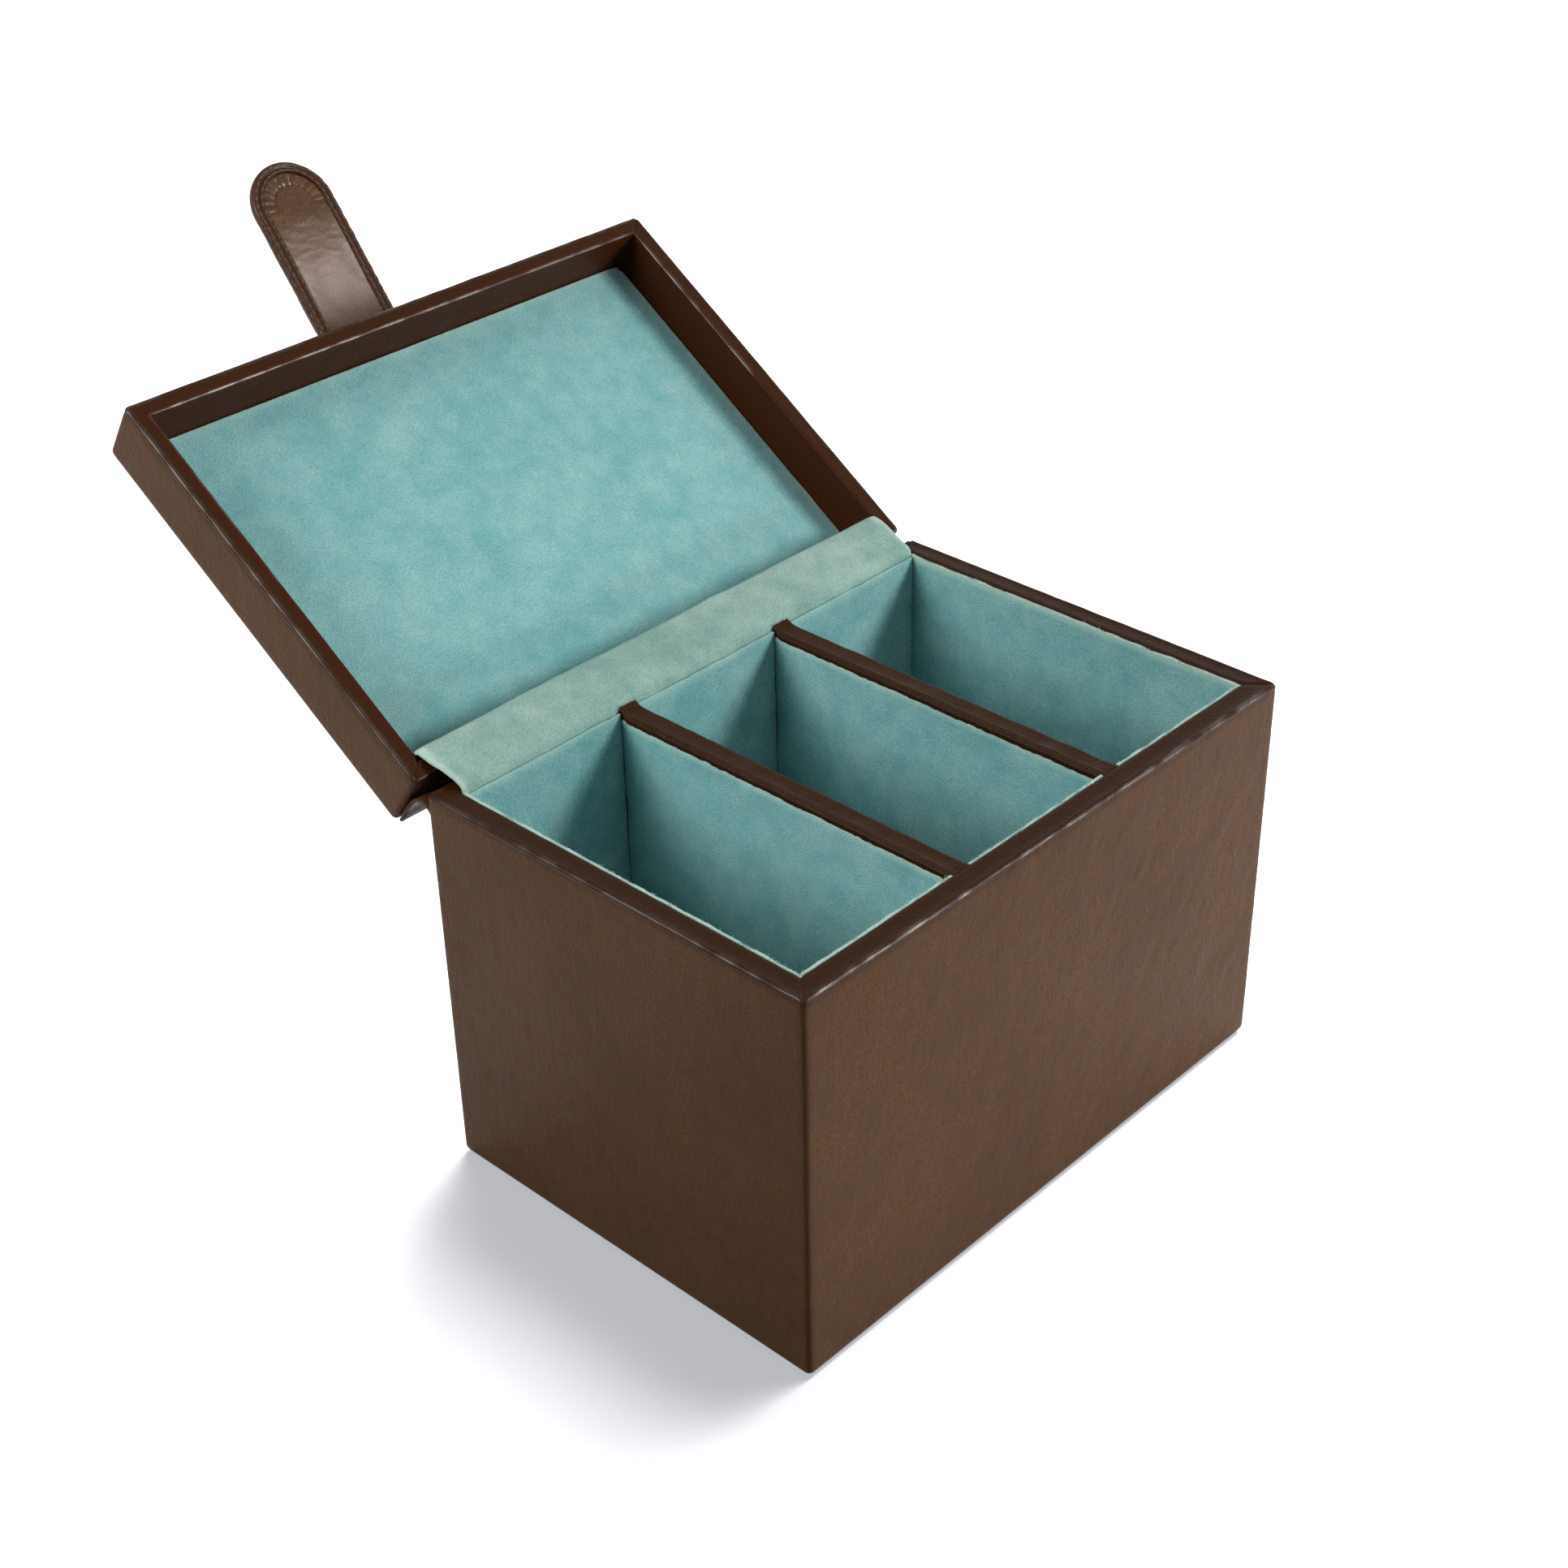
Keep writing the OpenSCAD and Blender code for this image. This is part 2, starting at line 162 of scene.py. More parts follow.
def rounded_loft(rings, long_steps, short_steps, corner_steps=6):
    """Rounded rectangles stacked into a shell, shape (rings, points, 3).

    A row of rings is half width, front y, rear y, corner radius and z. A corner is
    centre + r (cos t, sin t) over a quarter turn, and a side runs in equal steps from
    one corner to the next, so that each point has its match on every ring and a corner
    becomes a mitre."""
    w, front, rear, r, z = np.array(rings, float).T[:, :, None]
    centres = [(w - r, front + r), (w - r, rear - r), (r - w, rear - r), (r - w, front + r)]
    parts = []
    for k, (cx, cy) in enumerate(centres):
        t = np.radians(np.linspace(-90, 0, corner_steps + 1) + 90 * k)[None]
        parts.append((cx + r * np.cos(t), cy + r * np.sin(t)))
    xs, ys = [], []
    for k in range(4):
        (x0, y0), (x1, y1) = parts[k], parts[(k + 1) % 4]
        steps = short_steps if k % 2 == 0 else long_steps
        s = np.linspace(0, 1, steps + 1)[None, 1:-1]
        xs += [x0, x0[:, -1:] + (x1[:, :1] - x0[:, -1:]) * s]
        ys += [y0, y0[:, -1:] + (y1[:, :1] - y0[:, -1:]) * s]
    x = np.concatenate(xs, 1)
    y = np.concatenate(ys, 1)
    return np.stack([x, y, np.broadcast_to(z, x.shape)], -1)


def grid_faces(rows, cols, closed_rows=False, closed_cols=False):
    """Corner numbers of the quads of a grid, row by row."""
    r = np.arange(rows if closed_rows else rows - 1)
    c = np.arange(cols if closed_cols else cols - 1)
    r, c = np.meshgrid(r, c, indexing="ij")
    r1, c1 = (r + 1) % rows, (c + 1) % cols
    quads = [r * cols + c, r * cols + c1, r1 * cols + c1, r1 * cols + c]
    return np.stack(quads, -1).reshape(-1, 4)


def shell(grid, closed_rows=False, ends=True, flip=False):
    """Points and faces of a tube of rings; its two ends are closed by one face each."""
    rows, cols = grid.shape[:2]
    faces = grid_faces(rows, cols, closed_rows, True)
    faces = (faces[:, ::-1] if flip else faces).tolist()
    if ends and not closed_rows:
        first = list(range(cols))
        last = [(rows - 1) * cols + i for i in range(cols)]
        faces += [first, last[::-1]] if flip else [first[::-1], last]
    return grid.reshape(-1, 3), faces


def slab(width, height, thickness, edge_r, step):
    """A pad with soft edges on its face, as rows of (across, up, out of the wall).

    Along each side the samples are: the back edge, the side, a quarter round of
    edge_r, then even steps. Depth is the larger of the two sides' depths."""

    def side(length):
        turn = np.radians(np.linspace(0, 90, 6))
        bend = edge_r * (1 - np.cos(turn))
        drop = edge_r * (1 - np.sin(turn))
        inner = np.linspace(edge_r, length - edge_r, max(int(length / step), 2) + 1)[1:-1]
        at = np.concatenate([[0], bend, inner, length - bend[::-1], [length]])
        low = np.concatenate([[thickness], drop, 0 * inner, drop[::-1], [thickness]])
        return at, low

    u, du = side(width)
    v, dv = side(height)
    depth = np.maximum(du[:, None], dv[None])
    across = np.broadcast_to(u[:, None], depth.shape)
    up = np.broadcast_to(v[None], depth.shape)
    return np.stack([across, up, thickness - depth], -1)


def slab_faces(rows, cols):
    """The slab's face grid and one face over its back."""
    faces = grid_faces(rows, cols).tolist()
    back = [i * cols for i in range(rows)]
    back += [(rows - 1) * cols + j for j in range(1, cols)]
    back += [i * cols + cols - 1 for i in range(rows - 2, -1, -1)]
    back += list(range(cols - 2, 0, -1))
    return faces + [back]


def smooth_line(points, steps):
    """Smooth curve through points: the cubic whose slope at a point is half the step
    from the point before it to the point after it."""
    p = np.array(points, float)
    padded = np.concatenate([p[:1], p, p[-1:]])
    u = np.linspace(0, 1, steps, endpoint=False)[:, None]
    rows = []
    for a, b, c, d in zip(padded, padded[1:], padded[2:], padded[3:]):
        rows.append(
            0.5 * (2 * b + (c - a) * u + (2 * a - 5 * b + 4 * c - d) * u**2
                   + (3 * b - a - 3 * c + d) * u**3)
        )
    return np.concatenate(rows + [p[-1:]])


def line_normals(line):
    """Unit direction across a line in its plane, a quarter turn left of its course."""
    along = np.gradient(line, axis=0)
    along /= np.linalg.norm(along, axis=1, keepdims=True)
    return np.stack([-along[:, 1], along[:, 0]], -1)


def ribbon_loops(line, thickness, xs, fullness):
    """A strip as wide as xs: at each x a closed loop round the line, at half the
    thickness times fullness on each side of it, and thinner at the line's two ends."""
    normal = line_normals(line)
    half = np.full(len(line), 0.5 * thickness)
    half[[0, -1]] *= 0.55
    half = half[None] * np.asarray(fullness)[:, None]
    left = line[None] + normal[None] * half[..., None]
    right = line[None] - normal[None] * half[..., None]
    loop = np.concatenate([left, right[:, ::-1]], 1)
    x = np.broadcast_to(np.asarray(xs)[:, None], loop.shape[:2])
    return np.stack([x, loop[..., 0], loop[..., 1]], -1)


# ---- meshes and objects ---------------------------------------------------------


def make_piece(name, points, faces, material, slot, smooth=True, **attributes):
    """One mesh object at the origin, from points in millimetres; each attribute gives
    one number per point."""
    mesh = bpy.data.meshes.new(name)
    mesh.from_pydata((np.asarray(points).reshape(-1, 3) * MM).tolist(), [], faces)
    for key, values in attributes.items():
        layer = mesh.attributes.new(key, "FLOAT", "POINT")
        layer.data.foreach_set("value", np.ascontiguousarray(values, np.float32).ravel())
    if smooth:
        mesh.shade_smooth()
    mesh.validate()
    mesh.materials.append(material)
    piece = bpy.data.objects.new(name, mesh)
    bpy.context.scene.collection.objects.link(piece)
    return piece


def merge(parts):
    """Several (points, faces) as one; each part's face numbers move up by the points
    before it."""
    points, faces, start = [], [], 0
    for p, f in parts:
        p = np.asarray(p).reshape(-1, 3)
        points.append(p)
        faces += [[i + start for i in face] for face in f]
        start += len(p)
    return np.concatenate(points), faces


# ---- materials --------------------------------------------------------------------


def add(tree, kind, settings=None, **inputs):
    """Add one node, set its properties and its inputs, and link inputs given as
    sockets. An input is named with underscores for spaces, or as _0 by its number."""
    node = tree.nodes.new("ShaderNode" + kind)
    for key, value in (settings or {}).items():
        setattr(node, key, value)
    for key, value in inputs.items():
        socket = node.inputs[int(key[1:])] if key[0] == "_" else node.inputs[key.replace("_", " ")]
        if isinstance(value, bpy.types.NodeSocket):
            tree.links.new(value, socket)
        else:
            socket.default_value = value
    return node


def new_material(name):
    """A material with a Principled shader on its output; gives its tree and shader."""
    material = bpy.data.materials.new(name)
    material.use_nodes = True
    tree = material.node_tree
    tree.nodes.clear()
    shader = add(tree, "BsdfPrincipled")
    output = add(tree, "OutputMaterial")
    tree.links.new(shader.outputs[0], output.inputs[0])
    return material, tree, shader


def colour(value):
    """A colour property as the four numbers that a socket takes."""
    return (*value[:3], 1.0)


def ramp(tree, factor, low, high, colours):
    """Mix two colours where factor goes from low to high."""
    span = add(tree, "MapRange", _0=factor, _1=low, _2=high)
    mixed = add(tree, "Mix", {"data_type": "RGBA"}, _0=span.outputs[0])
    for socket, value in zip((6, 7), colours):
        if isinstance(value, bpy.types.NodeSocket):
            tree.links.new(value, mixed.inputs[socket])
        else:
            mixed.inputs[socket].default_value = value
    return mixed.outputs[2]


def calf_leather(name, light, dark, worn, grain=1.0, creases=1.0, rough=0.42, shine=0.05):
    """Aniline-dyed calf with a waxed finish: an even brown with cloudy patches, a fine
    close grain and a soft gloss. One attribute mixes in a darker colour as painted shade
    on folds, turned edges, corners and recesses, another paints the shade of the lid's
    inner walls a dark red-brown, and polish adds a coat of wax."""
    material, tree, shader = new_material(name)
    place = add(tree, "TexCoord").outputs["Object"]
    # cloudy dye in patches of about 45 mm, and mottling of about 7 mm
    cloud = add(tree, "TexNoise", Vector=place, Scale=22, Detail=3, Roughness=0.55)
    mottle = add(tree, "TexNoise", Vector=place, Scale=140, Detail=4, Roughness=0.6)
    both = add(tree, "Math", {"operation": "ADD"}, _0=cloud.outputs[0], _1=mottle.outputs[0])
    base = ramp(tree, both.outputs[0], 0.78, 1.22, (dark, light))
    # pores, 0.7 mm apart, which is coarser than real ones so that they show
    pores = add(tree, "TexNoise", Vector=place, Scale=1500, Detail=2, Roughness=0.6)
    base = ramp(tree, pores.outputs[0], 0.60, 0.36, (base, dark))
    # painted shade: a darker colour mixed in where the mesh marks folds, rims, grooves, corners and
    # recesses
    shade_mask = add(tree, "Attribute", {"attribute_name": "worn"})
    base = ramp(tree, shade_mask.outputs["Fac"], 0.0, 1.0, (base, worn))
    # painted shade: the lid's inner walls in a dark red-brown
    tint = add(tree, "Attribute", {"attribute_name": "red"})
    base = ramp(tree, tint.outputs["Fac"], 0.0, 1.0, (base, colour(srgb("#3f1c0d"))))
    tree.links.new(base, shader.inputs["Base Color"])
    # edges that are rubbed bright
    rubbed = add(tree, "Attribute", {"attribute_name": "polish"})
    tree.links.new(rubbed.outputs["Fac"], shader.inputs["Coat Weight"])
    shader.inputs["Coat Roughness"].default_value = 0.24
    # soft slanting creases of the hide, 2.5 mm across and nearly three times as long,
    # under a close grain of 0.8 mm
    lie = add(tree, "Mapping", Vector=place, Rotation=(0.0, 0.75, 0.0), Scale=(1.0, 1.0, 0.36))
    crease = add(tree, "TexNoise", Vector=lie.outputs[0], Scale=400, Detail=4, Distortion=0.8)
    cells = add(tree, "TexVoronoi", {"feature": "SMOOTH_F1"}, Vector=place, Scale=1300)
    first = add(tree, "Bump", Strength=0.21 * creases, Distance=0.0006, Height=crease.outputs[0])
    second = add(
        tree, "Bump", Strength=0.30 * grain, Distance=0.00025,
        Height=cells.outputs[0], Normal=first.outputs[0],
    )
    tree.links.new(second.outputs[0], shader.inputs["Normal"])
    # the roughness follows the mottling, and the places given painted shade are rubbed smoother
    uneven = add(
        tree, "MapRange", _0=mottle.outputs[0], _1=0.3, _2=0.7, _3=rough - 0.05, _4=rough + 0.08
    )
    smoother = add(tree, "MapRange", _0=shade_mask.outputs["Fac"], _1=0.3, _2=1.0, _3=1.0, _4=0.72)
    both = add(tree, "Math", {"operation": "MULTIPLY"}, _0=uneven.outputs[0], _1=smoother.outputs[0])
    tree.links.new(both.outputs[0], shader.inputs["Roughness"])
    shader.inputs["Specular IOR Level"].default_value = shine
    return material


def suede(name, light, dark, cut, nap=1.0):
    """Split suede with a short brushed nap: it scatters light softly, shows cloudy
    patches where the nap lies differently and has a paler cut edge."""
    material, tree, shader = new_material(name)
    place = add(tree, "TexCoord").outputs["Object"]
    # patches of differently laid nap, 30 mm and 8 mm, and tufts of 0.5 mm, which are
    # coarser than real ones so that they show; the hollows between tufts are darker
    patch = add(tree, "TexNoise", Vector=place, Scale=34, Detail=4, Roughness=0.6, Distortion=0.4)
    small = add(tree, "TexNoise", Vector=place, Scale=120, Detail=3, Roughness=0.6)
    tuft = add(tree, "TexNoise", Vector=place, Scale=2000, Detail=2, Roughness=0.75)
    both = add(tree, "Math", {"operation": "ADD"}, _0=patch.outputs[0], _1=small.outputs[0])
    base = ramp(tree, both.outputs[0], 0.74, 1.24, (dark, light))
    deep = add(tree, "Mix", {"data_type": "RGBA", "blend_type": "MULTIPLY"}, _0=1.0)
    tree.links.new(base, deep.inputs[6])
    deep.inputs[7].default_value = (0.60, 0.70, 0.71, 1.0)
    base = ramp(tree, tuft.outputs[0], 0.65, 0.34, (base, deep.outputs[2]))
    edge = add(tree, "Attribute", {"attribute_name": "cut"})
    base = ramp(tree, edge.outputs["Fac"], 0.0, 1.0, (base, cut))
    tree.links.new(base, shader.inputs["Base Color"])
    fur = add(tree, "Bump", Strength=0.65 * nap, Distance=0.0005, Height=tuft.outputs[0])
    tree.links.new(fur.outputs[0], shader.inputs["Normal"])
    shader.inputs["Roughness"].default_value = 0.95
    shader.inputs["Specular IOR Level"].default_value = 0.15
    shader.inputs["Sheen Weight"].default_value = 0.25
    shader.inputs["Sheen Roughness"].default_value = 0.45
    return material


def plain_stuff(name, light, dark, grain_scale, roughness, metallic=0.0, bump=0.2):
    """Raw fibreboard, card, thread or bare metal: two close shades in a fine grain."""
    material, tree, shader = new_material(name)
    place = add(tree, "TexCoord").outputs["Object"]
    grain = add(tree, "TexNoise", Vector=place, Scale=grain_scale, Detail=4, Roughness=0.6)
    base = ramp(tree, grain.outputs[0], 0.3, 0.7, (dark, light))
    tree.links.new(base, shader.inputs["Base Color"])
    raised = add(tree, "Bump", Strength=bump, Distance=0.0003, Height=grain.outputs[0])
    tree.links.new(raised.outputs[0], shader.inputs["Normal"])
    shader.inputs["Roughness"].default_value = roughness
    shader.inputs["Metallic"].default_value = metallic
    return material


def material_of(key):
    """The shared material of that key, made when it is first asked for."""
    made = bpy.data.materials.get(key)
    if made:
        return made
    tint = bpy.context.scene.case_colours
    # the colour of the painted shade
    worn = colour(tint.leather_worn)
    if key == "calf_leather":
        return calf_leather(key, colour(tint.leather_light), colour(tint.leather_dark), worn)
    if key == "strap_leather":
        return calf_leather(
            key, colour(tint.strap_light), colour(tint.leather_dark), worn,
            creases=1.1, rough=0.34, shine=0.15,
        )
    if key == "lining_suede":
        return suede(
            key, colour(tint.suede_light), colour(tint.suede_dark), colour(tint.suede_cut)
        )
    if key == "hinge_suede":
        return suede(
            key, colour(tint.strip_light), colour(tint.strip_dark), colour(tint.suede_cut), 1.4
        )
    # light shade, dark shade, grain scale, roughness, metallic and bump
    shades = {
        "waxed_thread": ("#5f4636", "#402c1e", 2500, 0.5, 0.0, 0.4),
        "raw_fibreboard": ("#a39680", "#857860", 700, 0.9, 0.0, 0.3),
        "stiff_card": ("#a9a294", "#8f887a", 900, 0.85, 0.0, 0.2),
        "plain_steel": ("#b4b7ba", "#8f9396", 1200, 0.35, 1.0, 0.05),
        "nickel_plate": ("#c9c6be", "#aeaba3", 1200, 0.25, 1.0, 0.03),
        "suede_fluff": ("#c4ddd4", "#93c2bd", 900, 0.95, 0.0, 0.1),
    }
    light, dark, *rest = shades[key]
    return plain_stuff(key, colour(srgb(light)), colour(srgb(dark)), *rest)


# ---- sizes and colours that a user may change ---------------------------------------


def length_property(name, description, default):
    """A length in metres, shown in the scene's unit."""
    return FloatProperty(
        name=name, description=description, default=default, min=0.0,
        subtype="DISTANCE", unit="LENGTH", precision=4,
    )


def colour_property(name, description, code):
    """A colour given as a hex sRGB value."""
    return FloatVectorProperty(
        name=name, description=description, default=srgb(code), size=3,
        min=0.0, max=1.0, subtype="COLOR",
    )


class CaseSizes(bpy.types.PropertyGroup):
    """Sizes of the finish that don't change the case's dimensions"""

    rim_round: length_property("Rim rounding", "Radius of the rim's outer edge", 0.0010)
    hide_relief: length_property("Hide relief", "Height of the hide's soft unevenness", 0.00006)
    crease_relief: length_property("Crease relief", "Depth of the front's soft creases", 0.00004)
    suede_edge: length_property("Suede edge", "Radius of the suede's edges", 0.00014)
    fibre_length: length_property("Fibre length", "Length of the loose suede fibres", 0.00042)
    border_width: length_property("Strap border", "Width of the strap's turned border", 0.0038)
    stitch_pitch: length_property("Stitch pitch", "Distance between the strap's stitches", 0.0026)


class CaseColours(bpy.types.PropertyGroup):
    """Colours of the leather and the suede"""

    leather_light: colour_property("Leather, light", "Lighter patches of the calf", "#543b26")
    leather_dark: colour_property("Leather, dark", "Darker patches of the calf", "#442d1a")
    # painted shade: the darker colour mixed in on folds, rims, grooves, corners and recesses
    leather_worn: colour_property("Leather, painted shade", "Painted shade on folds, rims, grooves and corners", "#321c0c")
    strap_light: colour_property("Strap, light", "Lighter patches of the strap", "#68462c")
    suede_light: colour_property("Suede, light", "Raised nap of the linings", "#99c9c8")
    suede_dark: colour_property("Suede, dark", "Laid nap of the linings", "#7bb7ba")
    suede_cut: colour_property("Suede, cut edge", "Cut edges of the suede", "#b8d4c8")
    strip_light: colour_property("Hinge suede, light", "Raised nap of the strip", "#abc9bf")
    strip_dark: colour_property("Hinge suede, dark", "Laid nap of the strip", "#87afa5")


# ---- case: leather --------------------------------------------------------------------


def rim_profile(turn, wall, inner_r):
    """Rim cross-section from the outer face to the inner one, as rows of share of the
    wall's thickness and height below the rim: a bead at the outer edge, a shallow
    hollow and a small round at the inner edge."""
    outer = [(0.0, 3.4), (0.006, 2.4), (0.02, 1.9), (0.012, 1.45)]
    bead = [(turn / wall * (1 - math.cos(a)), turn * (1 - math.sin(a)))
            for a in np.radians([0, 20, 40, 60, 78, 90])]
    top = [(0.2, 0.0), (0.26, 0.1), (0.36, 0.17), (0.5, 0.17), (0.66, 0.1), (0.8, 0.02)]
    inner = [(1 - inner_r / wall * (1 - math.sin(a)), inner_r * (1 - math.cos(a)))
             for a in np.radians([10, 35, 60, 80, 90])]
    return outer + bead + top + inner + [(1.0, 1.6), (1.0, 2.4), (1.0, TURN_IN)]


class CASE_OT_body_leather(bpy.types.Operator):
    """Covers the case's outside, rim and underside with calf leather"""

    bl_idname = "case.body_leather"
    bl_label = "Covering leather"

    def execute(self, context):
        self.cover(context.scene.case_sizes)
        self.base_panel()
        return {"FINISHED"}

    def rings(self, turn):
        """Rings from under the base's edge up the outside, over the rim, down inside it
        and back within the leather's thickness to the start."""
        edge = HALF_W - BASE_X
        under = [(0.0, 0.6, 1.15), (0.0, 0.6, 0.3), (0.3, 0.8, 0.02)]
        rings = [(BASE_X + d, -BASE_Y - d, BASE_Y + d, r, z) for d, r, z in under]
        for a in np.radians(np.linspace(20, 90, 7)):
            out = edge * (1 - math.sin(a))
            rings.append((HALF_W - out, out - HALF_D, HALF_D - out, CORNER_R, edge * (1 - math.cos(a))))
        for z in np.linspace(edge, CASE_H - 4, 76)[1:]:
            rings.append((HALF_W, -HALF_D, HALF_D, CORNER_R, z))
        for share, down in rim_profile(turn, WALL, 0.7):
            rings.append((
                HALF_W + share * (RIM_X - HALF_W), -HALF_D + share * (RIM_FRONT + HALF_D),
                HALF_D + share * (REAR_IN - HALF_D),
                CORNER_R + share * (INNER_CORNER_R - CORNER_R), CASE_H - down,
            ))
        t = LEATHER_T
        within = [
            (RIM_X + t, RIM_FRONT - t, REAR_IN + t, CASE_H - TURN_IN),
            (RIM_X + t, RIM_FRONT - t, REAR_IN + t, CASE_H - t),
            (HALF_W - t, t - HALF_D, HALF_D - t, CASE_H - t),
            (HALF_W - t, t - HALF_D, HALF_D - t, t),
        ]
        return rings + [(x, front, rear, INNER_CORNER_R, z) for x, front, rear, z in within]

    def cover(self, sizes):
        """The rings' shell with the hide's relief and the mitred folds of the rim."""
        grid = rounded_loft(self.rings(sizes.rim_round / MM), 124, 86)
        points = grid.reshape(-1, 3).copy()
        # views of the points, which follow every change to them
        x, y, z = points.T
        # only the outside and the rim have relief, and the base stays flat
        outside = np.zeros(grid.shape[:2])
        outside[3:-4] = 1
        outside = outside.ravel() * smoothstep(0, 8, z)
        flat = np.stack([
            np.where(np.abs(x) > HALF_W - NEAR_FACE, np.sign(x), 0),
            np.where(np.abs(y) > HALF_D - NEAR_FACE, np.sign(y), 0), 0 * z], -1)
        lift = -np.abs(sizes.hide_relief / MM * (waves(points, 32, 3) + 0.45 * waves(points, 9, 4)))
        # creases 5.5 mm apart that run along x = 0.6 z, mostly on the front
        slant = points @ np.array([[1, 0, 0], [0, 1, 0], [-0.6, 0, 1]])
        streak = waves(slant, 5.5, 5, stretch=(1, 1, 3.2), count=22)
        streak *= 0.35 + 0.65 * (y < -HALF_D + 2)
        lift -= sizes.crease_relief / MM * np.abs(streak)
        points += flat * (lift * outside)[:, None]
        # the rim's top waves a little, and each mitre is a shallow groove beside a fold:
        # the mitre is where the shares of the way through the two walls are equal
        top = smoothstep(CASE_H - 1.2, CASE_H - 0.3, z) * outside
        side_share = (np.abs(x) - RIM_X) / (HALF_W - RIM_X)
        end_share = np.maximum((RIM_FRONT - y) / (RIM_FRONT + HALF_D), (y - REAR_IN) / (HALF_D - REAR_IN))
        mitre = side_share - end_share
        near = smoothstep(-0.6, 0.1, end_share)
        groove = -0.3 * np.exp(-(mitre / 0.07) ** 2) + 0.12 * np.exp(-((mitre - 0.22) / 0.1) ** 2)
        pucker = 0.05 * np.sin(mitre * 21) * np.exp(-(mitre / 0.7) ** 2)
        points[:, 2] += top * ((groove + pucker) * near - 0.05 * np.abs(waves(points, 14, 6)))
        # painted shade darkens the rim, the upright corners and the foot
        rim = smoothstep(CASE_H - 2.6, CASE_H - 1.5, z)
        from_end = HALF_W - np.abs(x)
        from_side = HALF_D - np.abs(y)
        upright = np.exp(-((np.maximum(from_end, from_side) / 1.1) ** 2))
        worn = np.clip(rim + 0.95 * upright + 0.45 * (1 - smoothstep(0, 2.5, z)), 0, 1)
        # the bead is rubbed bright in places, most of all in front and near the corners
        polish = 0.4 + 0.6 * (y < -HALF_D + 1.2)
        polish *= np.maximum(from_end, 0) * np.maximum(from_side, 0) < 54
        polish *= smoothstep(CASE_H - 0.95, CASE_H - 0.5, z)
        polish *= np.minimum(from_end, from_side) < 1.3
        polish *= 0.55 + 0.45 * np.tanh(1.5 * waves(points, 9, 7))
        piece = make_piece(
            "body_leather_cover", points, shell(grid, closed_rows=True)[1],
            material_of("calf_leather"), "brown_leather", worn=worn, polish=polish,
        )
        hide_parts("body_leather")
        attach(piece, "case")

    def base_panel(self):
        """The panel on the underside, which lies flat near its edge and is lifted by up
        to 0.1 mm or so inside it."""
        insets = (60, 48, 36, 26, 18, 12, 8, 5, 3, 1.6, 0.8, 0.3)
        rings = [(BASE_X - d - 0.15, d + 0.15 - BASE_Y, BASE_Y - d - 0.15, 0.6, 0.0) for d in insets]
        rings += [
            (BASE_X - 0.12, 0.12 - BASE_Y, BASE_Y - 0.12, 0.7, 0.12),
            (BASE_X - 0.1, 0.1 - BASE_Y, BASE_Y - 0.1, 0.7, LEATHER_T),
            (40, -10, 10, 0.5, LEATHER_T),
        ]
        points, faces = shell(rounded_loft(rings, 60, 40, 3))
        points = points.copy()
        inside = (points[:, 2] < 0.05) * smoothstep(0.4, 6, BASE_X - np.abs(points[:, 0]))
        points[:, 2] += 0.08 * inside * np.abs(waves(points, 24, 9))
        # painted shade: the whole underside is darkened a quarter of the way
        piece = make_piece(
            "base_panel", points, faces, material_of("calf_leather"), "brown_leather",
            worn=np.full(len(points), 0.25),
        )
        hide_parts("base_leather")
        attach(piece, "case")


